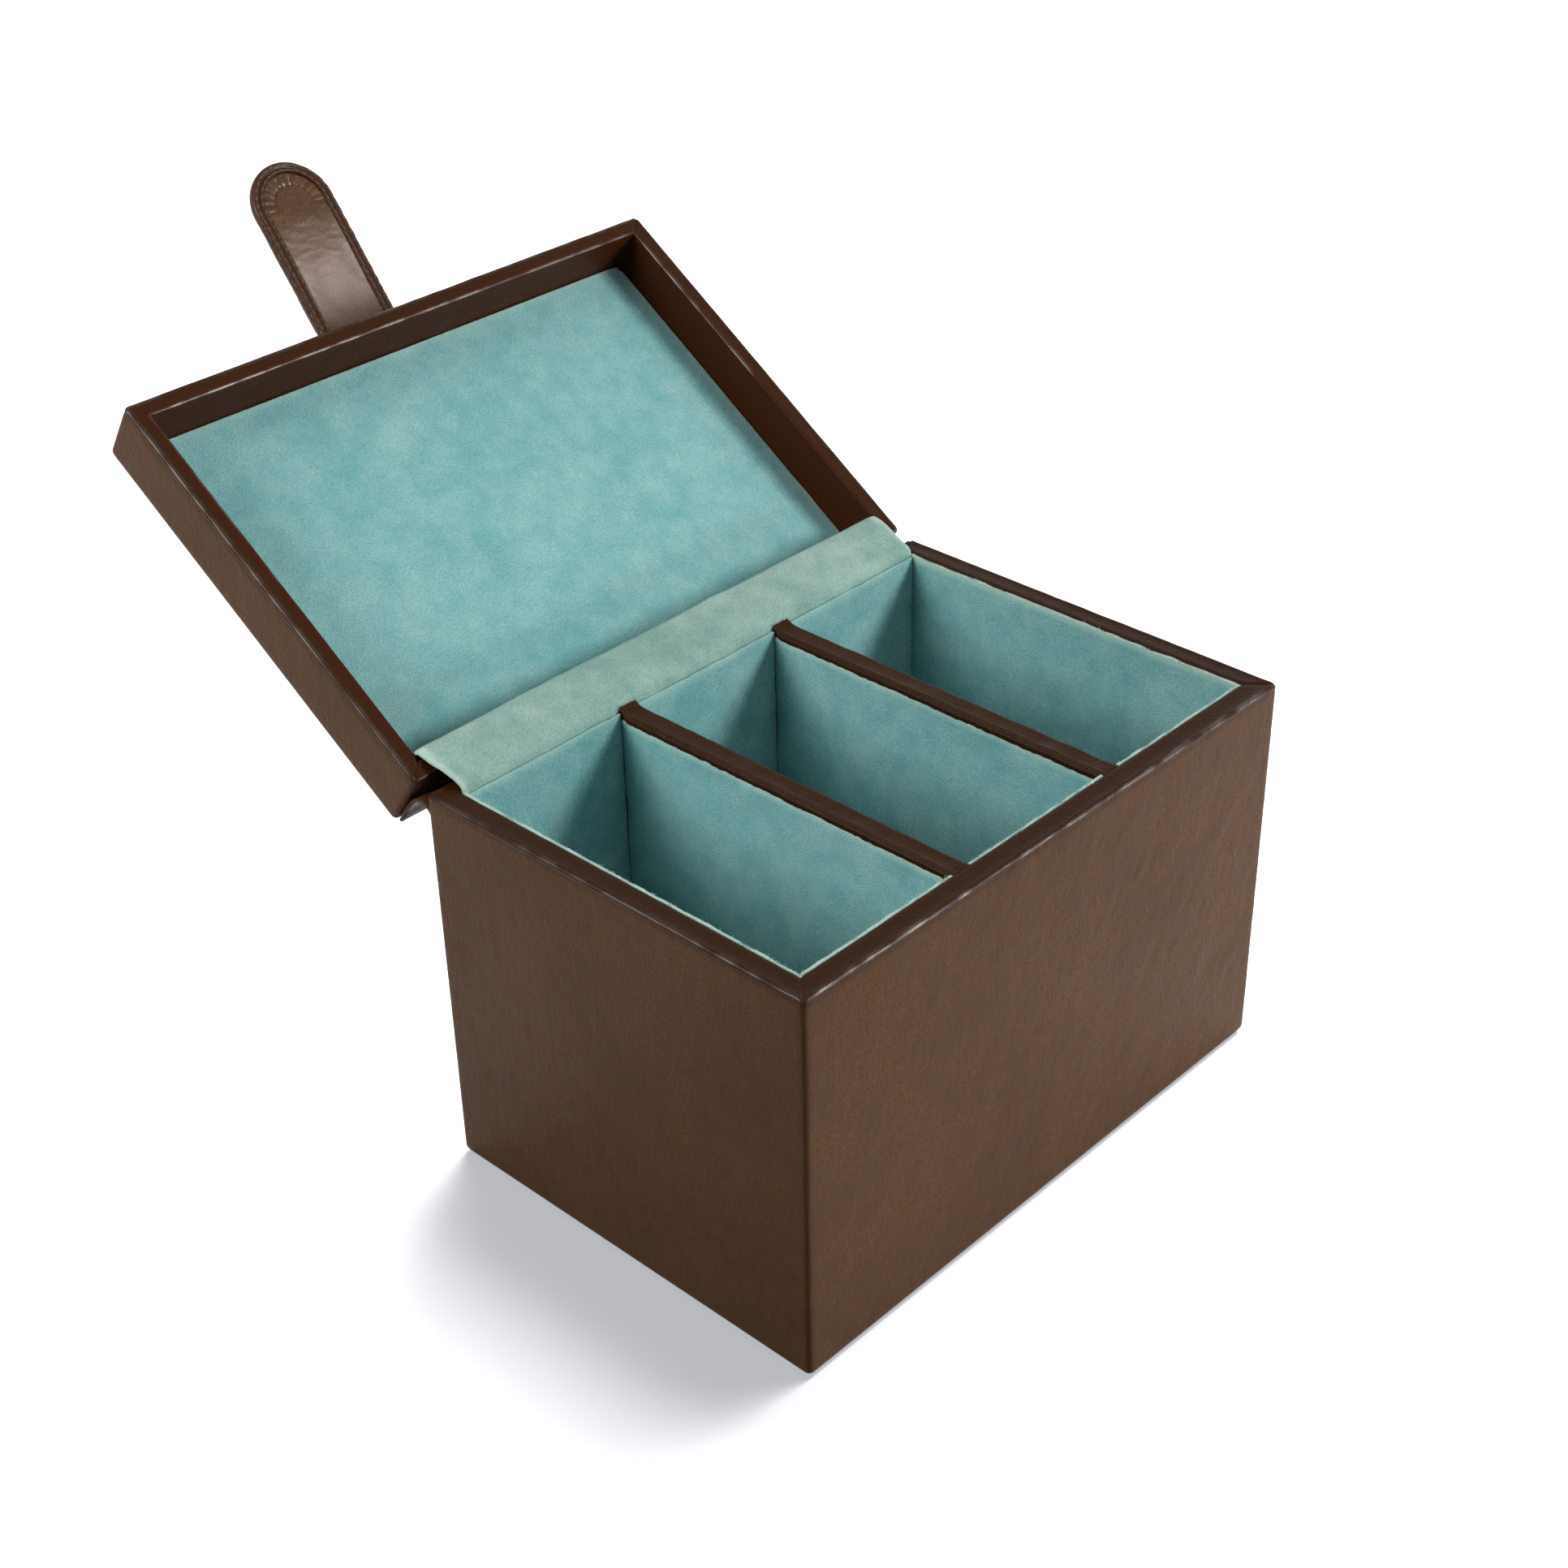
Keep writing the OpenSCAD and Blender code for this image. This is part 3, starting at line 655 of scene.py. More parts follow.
class CASE_OT_divider_caps(bpy.types.Operator):
    """Folds a leather cap over each divider's top edge"""

    bl_idname = "case.divider_caps"
    bl_label = "Divider caps"

    def execute(self, context):
        for side in ("left", "right"):
            low, high = cad(side + "_divider_cap")
            middle = (low[0] + high[0]) / 2
            top, bottom = high[2], low[2] - 0.3
            half = (high[0] - low[0]) / 2
            # right half of the cap's outline, from its middle over the ridge to the fold's
            # lower edge, as (across, height over the top); the left half mirrors it and the
            # hollow for the divider closes the loop
            right = np.array([
                (0.0, -0.06), (0.9, -0.05), (1.7, -0.02), (2.2, 0.06), (2.55, 0.08), (2.9, -0.06),
                (3.1, -0.42), (3.12, -0.62), (3.3, -0.74), (3.58, -0.92), (3.7, -1.3), (3.66, -1.75),
                (3.5, -2.3), (3.42, -2.7),
            ])
            right[:, 0] *= half / 3.5
            left = right[:0:-1] * [-1, 1]
            outline = np.concatenate([left, right])
            outline[:, 1] += top
            core = 2.36
            hollow = [(core, bottom), (core, top - 1.15), (-core, top - 1.15), (-core, bottom)]
            loop = np.concatenate([outline, hollow])
            ys = np.concatenate([[low[1] + 0.05, low[1] + 0.4], np.linspace(low[1] + 1, high[1] - 3, 92),
                                 high[1] + np.array([-2.4, -1.9, -1.4, -1.0, -0.7])])
            grid = np.zeros((len(ys), len(loop), 3))
            grid[..., 0] = middle + loop[None, :, 0]
            grid[..., 1] = ys[:, None]
            grid[..., 2] = loop[None, :, 1]
            outer = np.arange(len(loop)) < len(outline)
            where = grid.reshape(-1, 3)
            uneven = waves(where, 9, 11 if side == "left" else 12).reshape(grid.shape[:2])
            grid[..., 2] += outer * 0.07 * uneven
            # the fold's cut edge is a little ragged
            low_edge = np.exp(-((loop[:, 1] - bottom) / 0.9) ** 2) * outer
            ragged = waves(where, 2.2, 13).reshape(grid.shape[:2])
            grid[..., 2] += low_edge[None] * 0.09 * ragged
            # the rear end curls up against the hinge strip
            curl = smoothstep(high[1] - 4.2, high[1] - 0.6, grid[..., 1])
            grid[..., 2] += outer * 1.5 * curl**2
            grid[..., 0] += outer * (middle - grid[..., 0]) * 0.12 * curl**2
            points, faces = shell(grid, flip=True)
            crease = np.exp(-((np.abs(loop[:, 0]) - 3.16) / 0.16) ** 2)
            ridge = 0.12 * np.exp(-((np.abs(loop[:, 0]) - 2.4) / 0.3) ** 2)
            # painted shade: the caps take nearly all the shade colour, fully in the creases beside the
            # ridge, along the lower cut edge and where the rear end curls
            worn = np.clip(0.95 + 0.3 * crease[None] + 0.3 * low_edge[None] + 0.3 * curl, 0, 1)
            piece = make_piece(
                side + "_divider_leather", points, faces, material_of("calf_leather"), "brown_leather",
                worn=np.broadcast_to(worn, grid.shape[:2]),
                polish=np.broadcast_to(ridge[None] * outer, grid.shape[:2]),
            )
            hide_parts(side + "_divider_cap")
            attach(piece, "case")
        return {"FINISHED"}


# ---- case: suede -----------------------------------------------------------------------

# Each lining's node, with the axis and the sign that its face looks along
LININGS = {
    "left_bay_front_lining": (1, 1), "middle_bay_front_lining": (1, 1),
    "right_bay_front_lining": (1, 1), "left_bay_rear_lining": (1, -1),
    "middle_bay_rear_lining": (1, -1), "right_bay_rear_lining": (1, -1),
    "left_wall_lining": (0, 1), "right_wall_lining": (0, -1),
    "left_divider_left_lining": (0, -1), "left_divider_right_lining": (0, 1),
    "right_divider_left_lining": (0, -1), "right_divider_right_lining": (0, 1),
    "left_bay_floor": (2, 1), "middle_bay_floor": (2, 1), "right_bay_floor": (2, 1),
}


class CASE_OT_linings(bpy.types.Operator):
    """Lines the three bays with suede, one soft-edged panel on each face"""

    bl_idname = "case.linings"
    bl_label = "Bay linings"

    def execute(self, context):
        edge_r = context.scene.case_sizes.suede_edge / MM
        for number, (node, (axis, sign)) in enumerate(LININGS.items()):
            low, high = cad(node)
            size = high - low
            first, second = [a for a in (0, 1, 2) if a != axis]
            grid = slab(size[first], size[second], size[axis], edge_r, 2.4)
            rows, cols = grid.shape[:2]
            points = np.zeros((rows, cols, 3))
            points[..., first] = low[first] + grid[..., 0]
            points[..., second] = low[second] + grid[..., 1]
            out = grid[..., 2]
            whole = smoothstep(0.6 * size[axis], size[axis], out)
            where = points.reshape(-1, 3) + 17 * number
            soft = (waves(where, 26, 31) + 0.6 * waves(where, 8, 32)).reshape(rows, cols)
            out = out - 0.13 * np.abs(soft) * whole
            points[..., axis] = low[axis] + out if sign > 0 else high[axis] - out
            # a wall's panel shows its pale cut edge, about 2 mm deep, along the top
            cut = np.zeros((rows, cols))
            if axis != 2:
                top = high[2] - points[..., 2]
                ragged = waves(points.reshape(-1, 3), 3, 33).reshape(rows, cols)
                cut = 1 - smoothstep(0.2, np.clip(1.9 + 0.8 * ragged, 0.9, 3.5), top)
                near_top = 1 - smoothstep(0.0, 1.0, top)
                fine = waves(points.reshape(-1, 3), 1.6, 34, count=24).reshape(rows, cols)
                points[..., 2] += near_top * 0.12 * fine
            faces = slab_faces(rows, cols)
            right_handed = (first, second, axis) in ((0, 1, 2), (1, 2, 0))
            if (sign > 0) != right_handed:
                faces = [face[::-1] for face in faces]
            cut *= 0.3 if "rear" in node else 0.8
            piece = make_piece(
                node.replace("lining", "suede").replace("floor", "floor_suede"), points, faces,
                material_of("lining_suede"), "blue_suede", cut=cut,
            )
            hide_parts(node)
            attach(piece, "case")
        return {"FINISHED"}


def fibres(roots, heads, bends, radius):
    """Loose fibres, each a three-sided taper through its root, a bent middle and its
    head: points = line + radius (cos t, sin t) in the plane across it."""
    middle = (roots + heads) / 2 + bends
    line = np.stack([roots, middle, heads], 1)
    along = heads - roots
    along /= np.linalg.norm(along, axis=1, keepdims=True)
    one = np.cross(along, [0.3, 0.2, 1.0])
    one /= np.linalg.norm(one, axis=1, keepdims=True)
    two = np.cross(along, one)
    t = np.radians([0, 120, 240])
    ring = one[:, None] * np.cos(t)[None, :, None] + two[:, None] * np.sin(t)[None, :, None]
    wide = radius * np.array([1.0, 0.8, 0.25])
    points = line[:, :, None] + ring[:, None] * wide[None, :, None, None]
    faces = np.concatenate([grid_faces(3, 3, False, True)[:, ::-1], [[0, 1, 2, 2], [8, 7, 6, 6]]])
    every = (faces[None] + 9 * np.arange(len(roots))[:, None, None]).reshape(-1, 4).tolist()
    return points.reshape(-1, 3), [f[:3] if f[2] == f[3] else f for f in every]


class CASE_OT_suede_fluff(bpy.types.Operator):
    """Adds the loose fibres along the linings' cut edges"""

    bl_idname = "case.suede_fluff"
    bl_label = "Suede fibres"

    def execute(self, context):
        length = context.scene.case_sizes.fibre_length / MM
        rng = np.random.default_rng(21)
        roots, heads = [], []
        for node, (axis, sign) in LININGS.items():
            if axis == 2 or "rear" in node:
                continue
            low, high = cad(node)
            run = 1 - axis
            count = int((high[run] - low[run]) * (11 if "divider" not in node else 6))
            root = np.zeros((count, 3))
            root[:, run] = rng.uniform(low[run] + 0.5, high[run] - 0.5, count)
            root[:, axis] = rng.uniform(low[axis] + 0.15, high[axis] - 0.15, count)
            root[:, 2] = high[2] - 0.1
            push = rng.normal(size=(count, 3)) * 0.5
            push[:, axis] += 0.75 * sign
            push[:, 2] = np.abs(push[:, 2]) * (0.5 if "divider" not in node else -0.6)
            push /= np.linalg.norm(push, axis=1, keepdims=True)
            roots.append(root)
            heads.append(root + push * rng.gamma(2.2, length / 2.6, (count, 1)))
        roots, heads = np.concatenate(roots), np.concatenate(heads)
        bends = rng.normal(size=roots.shape) * 0.1
        points, faces = fibres(roots, heads, bends, 0.06)
        piece = make_piece("suede_fibres", points, faces, material_of("suede_fluff"), "blue_suede")
        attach(piece, "case")
        return {"FINISHED"}


# ---- hinge ------------------------------------------------------------------------------

# The two strips' half widths, the plane of the suede one's back in the case, and both
# middle lines past their glued tails, as (y, z) from the hinge axis
SUEDE_HALF = 92.5
OUTER_HALF = 98.9
STRIP_BACK = RIM_REAR + 0.6 - HINGE_Y
STRIP_LINE = [
    (STRIP_BACK, -1.2), (-8.3, 0.5), (-6.6, 1.7), (-2.0, 3.5), (2.6, 5.0), (6.5, 5.9),
    (9.2, 5.0), (21.0, -3.9),
]
LEATHER_LINE = [
    (-2.8, -9.6), (-2.3, -7.8), (-0.9, -5.9), (1.6, -5.0), (4.6, -6.1), (7.0, -8.8),
    (9.5, -11.9), (12.1, -15.7),
]


def strip_course(tail, points, steps):
    """A strip's middle line: its straight glued tail, then the smooth curve."""
    curve = smooth_line(points, steps)
    straight = np.linspace(tail, curve[0], 8, endpoint=False)
    line = np.concatenate([straight, curve])
    line += [HINGE_Y, HINGE_Z]
    return line


def both_ways(line):
    """Share of the way along a ribbon's middle line, for the points of its loop."""
    way = np.linspace(0, 1, len(line))
    return np.concatenate([way, way[::-1]])


class CASE_OT_hinge_strips(bpy.types.Operator):
    """Joins the lid to the case with suede inside and leather outside"""

    bl_idname = "case.hinge_strips"
    bl_label = "Hinge strips"

    def execute(self, context):
        self.suede_strip()
        self.leather_strip()
        return {"FINISHED"}

    def suede_strip(self):
        """The strip inside: it spreads by 1.6 % where it lies on the lid, and sags and
        dents a little where it is free."""
        half = SUEDE_HALF
        line = strip_course((STRIP_BACK, -14.4), STRIP_LINE, 8)
        xs = np.concatenate([[-half, -half + 0.25, -half + 0.8], np.linspace(-half + 2, half - 2, 120),
                             [half - 0.8, half - 0.25, half]])
        full = np.ones(len(xs))
        full[[0, -1]] = 0.45
        full[[1, -2]] = 0.85
        grid = ribbon_loops(line, SUEDE_T, xs, full)
        over = smoothstep(HINGE_Y - 4, HINGE_Y + 7, grid[..., 1])
        grid[..., 0] *= 1 + 0.016 * over
        share = both_ways(line)
        free = smoothstep(0.3, 0.5, share) * (1 - smoothstep(0.8, 1.0, share))
        where = grid.reshape(-1, 3)
        sag = waves(where * [1, 0, 0] + 3, 38, 41).reshape(grid.shape[:2])
        dents = waves(where, 11, 42).reshape(grid.shape[:2])
        grid[..., 2] += free[None] * (0.28 * sag + 0.12 * dents)
        points, faces = shell(grid, flip=True)
        cut = 0.85 * smoothstep(half - 1.6, half - 0.3, np.abs(grid[..., 0]))
        piece = make_piece(
            "inner_hinge_strip", points, faces, material_of("hinge_suede"), "pale_suede", cut=cut
        )
        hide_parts("inner_hinge_suede")
        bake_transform(piece)

    def leather_strip(self):
        """The strip outside, softly uneven where it is free, with painted shade over all of it and most
        where it bends.
        """
        half = OUTER_HALF
        line = strip_course((-2.72, -20.9), LEATHER_LINE, 8)
        xs = np.concatenate([[-half, -half + 0.3], np.linspace(-half + 1, half - 1, 110),
                             [half - 0.3, half]])
        full = np.ones(len(xs))
        full[[0, -1]] = 0.7
        grid = ribbon_loops(line, 1.2, xs, full)
        share = both_ways(line)
        free = smoothstep(0.4, 0.6, share) * (1 - smoothstep(0.85, 1.0, share))
        soft = waves(grid.reshape(-1, 3), 16, 43).reshape(grid.shape[:2])
        grid[..., 1] += free[None] * 0.16 * soft
        points, faces = shell(grid, flip=True)
        # painted shade: a little over the whole strip and more in a band where it bends
        worn = np.broadcast_to(0.3 + 0.5 * np.exp(-((share - 0.62) / 0.06) ** 2)[None], grid.shape[:2])
        piece = make_piece(
            "outer_hinge_strip", points, faces, material_of("calf_leather"), "brown_leather", worn=worn
        )
        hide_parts("outer_hinge_leather")
        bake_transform(piece)


# ---- lid -----------------------------------------------------------------------------------


class CASE_OT_lid(bpy.types.Operator):
    """Covers the lid with leather and lines its inside with a suede panel"""

    bl_idname = "case.lid"
    bl_label = "Lid"

    def execute(self, context):
        self.cover(context.scene.case_sizes)
        self.panel()
        return {"FINISHED"}

    def rings(self, turn):
        """Rings from the middle of the lid's top over its edge, down the outside, over
        the rim and up the inner walls, then back within the leather's thickness. Gives
        them and the number that can be seen."""
        rings = []
        for d in (66.5, 64, 60, 56, 52, 48, 44, 40, 36, 32, 28, 24, 20, 16.5, 13, 10, 7.5, 5.5, 4, 3):
            rings.append((HALF_W - d, d - HALF_D, HALF_D - d, INNER_CORNER_R + 0.02 * (66 - d), LID_TOP))
        for a in np.radians(np.linspace(12, 90, 8)):
            d = LID_EDGE_R * (1 - math.sin(a))
            z = LID_TOP - LID_EDGE_R * (1 - math.cos(a))
            rings.append((HALF_W - d, d - HALF_D, HALF_D - d, CORNER_R, z))
        for z in np.linspace(LID_TOP - LID_EDGE_R, LID_Z + 3.8, 10)[1:]:
            rings.append((HALF_W, -HALF_D, HALF_D, CORNER_R, z))
        for share, down in rim_profile(turn, LID_WALL, 0.8)[:-2]:
            d = share * LID_WALL
            r = CORNER_R + share * (INNER_CORNER_R - CORNER_R)
            rings.append((HALF_W - d, d - HALF_D, HALF_D - d, r, LID_Z + down))
        for z in np.linspace(LID_Z + 3.2, LID_BOARD_Z - 0.2, 9):
            rings.append((LID_X, -LID_Y, LID_Y, INNER_CORNER_R, z))
        t = LEATHER_T
        within = [
            (LID_X + t, LID_Y + t, LID_BOARD_Z - 0.2), (LID_X + t, LID_Y + t, LID_Z + t),
            (HALF_W - t, HALF_D - t, LID_Z + t), (HALF_W - t, HALF_D - t, LID_TOP - t),
            (HALF_W - 66.5, HALF_D - 66.5, LID_TOP - t),
        ]
        return rings + [(x, -y, y, INNER_CORNER_R, z) for x, y, z in within], len(rings)

    def cover(self, sizes):
        """The rings' shell with the hide's relief and the mitred folds of the rim."""
        rings, seen = self.rings(sizes.rim_round / MM)
        grid = rounded_loft(rings, 118, 82)
        points = grid.reshape(-1, 3).copy()
        # views of the points, which follow every change to them
        x, y, z = points.T
        outside = np.zeros(grid.shape[:2])
        outside[:seen] = 1
        outside = outside.ravel()
        relief = sizes.hide_relief / MM * (waves(points, 34, 51) + 0.45 * waves(points, 8, 52))
        side_x = np.where(np.abs(x) > HALF_W - NEAR_FACE, np.sign(x), 0)
        side_y = np.where(np.abs(y) > HALF_D - NEAR_FACE, np.sign(y), 0)
        on_top = np.where(z > LID_TOP - 0.05, 1, 0)
        inner = outside * smoothstep(LID_Z + 1.6, LID_Z + 4, z)
        in_x = np.where(np.abs(np.abs(x) - LID_X) < 0.05, -np.sign(x), 0) * inner
        in_y = np.where(np.abs(np.abs(y) - LID_Y) < 0.05, -np.sign(y), 0) * inner
        flat = np.stack([side_x + in_x, side_y + in_y, on_top], -1)
        points += flat * (-np.abs(relief) * outside)[:, None]
        # the rim's mitres, as on the case, but upside down
        rim = (1 - smoothstep(LID_Z + 0.3, LID_Z + 1.2, z)) * outside
        corner_x = (np.abs(x) - LID_X) / LID_WALL
        corner_y = (np.abs(y) - LID_Y) / LID_WALL
        mitre = corner_x - corner_y
        near = smoothstep(-0.6, 0.1, corner_y)
        groove = 0.3 * np.exp(-(mitre / 0.08) ** 2) - 0.12 * np.exp(-((mitre + 0.25) / 0.12) ** 2)
        pucker = 0.05 * np.sin(mitre * 19) * np.exp(-(mitre / 0.7) ** 2)
        points[:, 2] += rim * ((groove + pucker) * near + 0.05 * np.abs(waves(points, 13, 53)))
        # painted shade darkens the rim, the inner walls and the upright corners
        inside = outside * (np.maximum(corner_x, corner_y) < 0.45) * (z < LID_BOARD_Z)
        dark = 1 - smoothstep(LID_Z + 1.4, LID_Z + 2.4, z)
        corner = np.exp(-((np.maximum(HALF_W - np.abs(x), HALF_D - np.abs(y)) / 1.4) ** 2))
        worn = np.clip(0.9 * dark + 0.95 * inside + 0.4 * corner, 0, 1)
        # both edges of the rim are rubbed bright in places
        border = np.minimum(HALF_W - np.abs(x), HALF_D - np.abs(y))
        low = 1 - smoothstep(LID_Z + 0.5, LID_Z + 0.95, z)
        inner_edge = (np.abs(border - LID_WALL + 0.35) < 0.5) * (y < 0)
        polish = low * np.maximum((border < 1.3) * 0.6, inner_edge * 1.0)
        polish *= 0.6 + 0.4 * np.tanh(1.5 * waves(points, 9, 57))
        # the inner walls also get a dark red-brown as painted shade
        piece = make_piece(
            "lid_leather_cover", opened(points), shell(grid, flip=True)[1],
            material_of("calf_leather"), "brown_leather", worn=worn, polish=polish, red=0.55 * inside,
        )
        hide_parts("lid_leather")
        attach(piece, "lid")

    def panel(self):
        """The suede panel inside: a soft pad 1 mm thick, one corner of it cut round."""
        gap = 0.15
        width, depth = 2 * (LID_X - gap), 2 * (LID_Y - gap)
        grid = slab(width, depth, 1.0, 0.5, 2.2)
        rows, cols = grid.shape[:2]
        where = grid.reshape(-1, 3) * [1, 1, 0]
        soft = (waves(where, 30, 61) + 0.5 * waves(where, 9, 62)).reshape(rows, cols)
        lift = grid[..., 2] - 0.12 * np.abs(soft) * smoothstep(0.6, 1.0, grid[..., 2])
        across = grid[..., 0] - width / 2
        along = grid[..., 1] - depth / 2
        # points outside the corner's arc are pulled in to it
        radius = 4.5
        centre = np.array([width / 2 - radius, radius - depth / 2])
        out = np.stack([across - centre[0], along - centre[1]], -1)
        reach = np.linalg.norm(out, axis=-1)
        cornered = (out[..., 0] > 0) & (out[..., 1] < 0) & (reach > radius)
        pull = np.where(cornered, radius / np.maximum(reach, 1e-6), 1)
        across = centre[0] + out[..., 0] * pull
        along = centre[1] + out[..., 1] * pull
        points = np.stack([across, along, LID_BOARD_Z - 1 - lift], -1)
        edge = np.minimum(width / 2 - np.abs(across), depth / 2 - np.abs(along))
        cut = 0.35 * (1 - smoothstep(0.2, 1.8, edge))
        faces = [face[::-1] for face in slab_faces(rows, cols)]
        piece = make_piece(
            "lid_suede_panel", opened(points), faces, material_of("lining_suede"), "blue_suede", cut=cut
        )
        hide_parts("lid_lining")
        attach(piece, "lid")


# ---- strap -----------------------------------------------------------------------------------


def strap_place(points):
    """Points of the flat strap put on the lid: columns are across, past the lid's edge
    and up from the lid's top. Past the edge it turns down by the strap's set within
    3 mm, and the whole then turns open with the lid."""
    across, past, up = points[..., 0], points[..., 1], points[..., 2]
    angle = STRAP_SET * smoothstep(-0.5, 3.0, past)
    y = -(past * np.cos(angle) + up * np.sin(angle))
    z = up * np.cos(angle) - past * np.sin(angle)
    closed = np.stack([STRAP_X + across, -HALF_D + y, LID_Z + LID_H + z], -1)
    return opened(closed)


def stadium(inset, start, end, straight, turn):
    """Closed outline with a round at both ends, made smaller by inset, as (across,
    past). It starts at the lid end's left side and goes round the tip."""
    half = STRAP_HALF - np.asarray(inset)[:, None]
    run = np.linspace(start + STRAP_HALF, end - STRAP_HALF, straight)[None]
    tip = np.radians(np.linspace(180, 0, turn))[None, 1:-1]
    left = np.stack([-half + 0 * run, run + 0 * half], -1)
    top = np.stack([half * np.cos(tip), end - STRAP_HALF + half * np.sin(tip)], -1)
    right = np.stack([half + 0 * run, run[:, ::-1] + 0 * half], -1)
    low = np.stack([-half * np.cos(tip), start + STRAP_HALF - half * np.sin(tip)], -1)
    return np.concatenate([left, top, right, low], 1)


def long_faces(start, straight, turn, low=0):
    """Faces over a stadium outline whose points begin at start: one across each step of
    the two straight sides, one over the tip and, where low points follow the second
    side, one over the other round end."""
    left = start + np.arange(straight)
    right = start + 2 * straight + turn - 1 - np.arange(straight)
    across = np.stack([left[:-1], left[1:], right[1:], right[:-1]], -1).tolist()
    tip = [int(left[-1]), *range(start + straight, start + straight + turn), int(right[-1])]
    root = [*range(start + 2 * straight + turn, start + 2 * straight + turn + low), int(left[0])]
    return across + [tip] + ([[int(right[0])] + root] if low else [])


# Strap cross-section over the border: inset from the edge, and height over the inner
# face's level. The border is two rolls with a groove between them.
BORDER = [
    (0.0, 1.9), (0.0, 1.3), (0.1, 0.85), (0.35, 0.5), (0.7, 0.26), (1.05, 0.12), (1.35, 0.1),
    (1.65, 0.24), (1.95, 0.52), (2.2, 0.6), (2.45, 0.42), (2.75, 0.12), (3.0, 0.04), (3.25, 0.1),
    (3.5, 0.42), (3.68, 0.95), (3.8, 1.25),
]
OUTER_FACE = [
    (0.0, 2.4), (0.1, 2.9), (0.35, 3.25), (0.8, 3.48), (1.5, 3.58), (2.1, 3.52), (2.6, 3.42),
    (3.1, 3.52), (3.8, 3.6), (6.0, 3.62), (9.0, 3.62), (12.0, 3.62), (14.3, 3.62),
]
# Rows of stitches on each body, as height and inset
STITCHES = {
    "strap": ((0.06, 1.25), (0.0, 3.02), (3.62, 2.6)),
    "lid": ((3.62, 2.6),),
}


def strap_base(past):
    """Height of the strap's inner face over the lid's top: it lies on the lid behind
    the edge and stands 0.6 mm off past it."""
    return 0.6 * smoothstep(-4.0, 0.5, past)


def panel_swell(past):
    """The inner panel's level against its plain one: 0.15 mm deeper at the root and up
    to 0.5 mm fuller about 40 mm past the edge."""
    return 0.15 - 0.65 * smoothstep(10.0, 36.0, past) * (1 - smoothstep(42.0, 62.0, past))


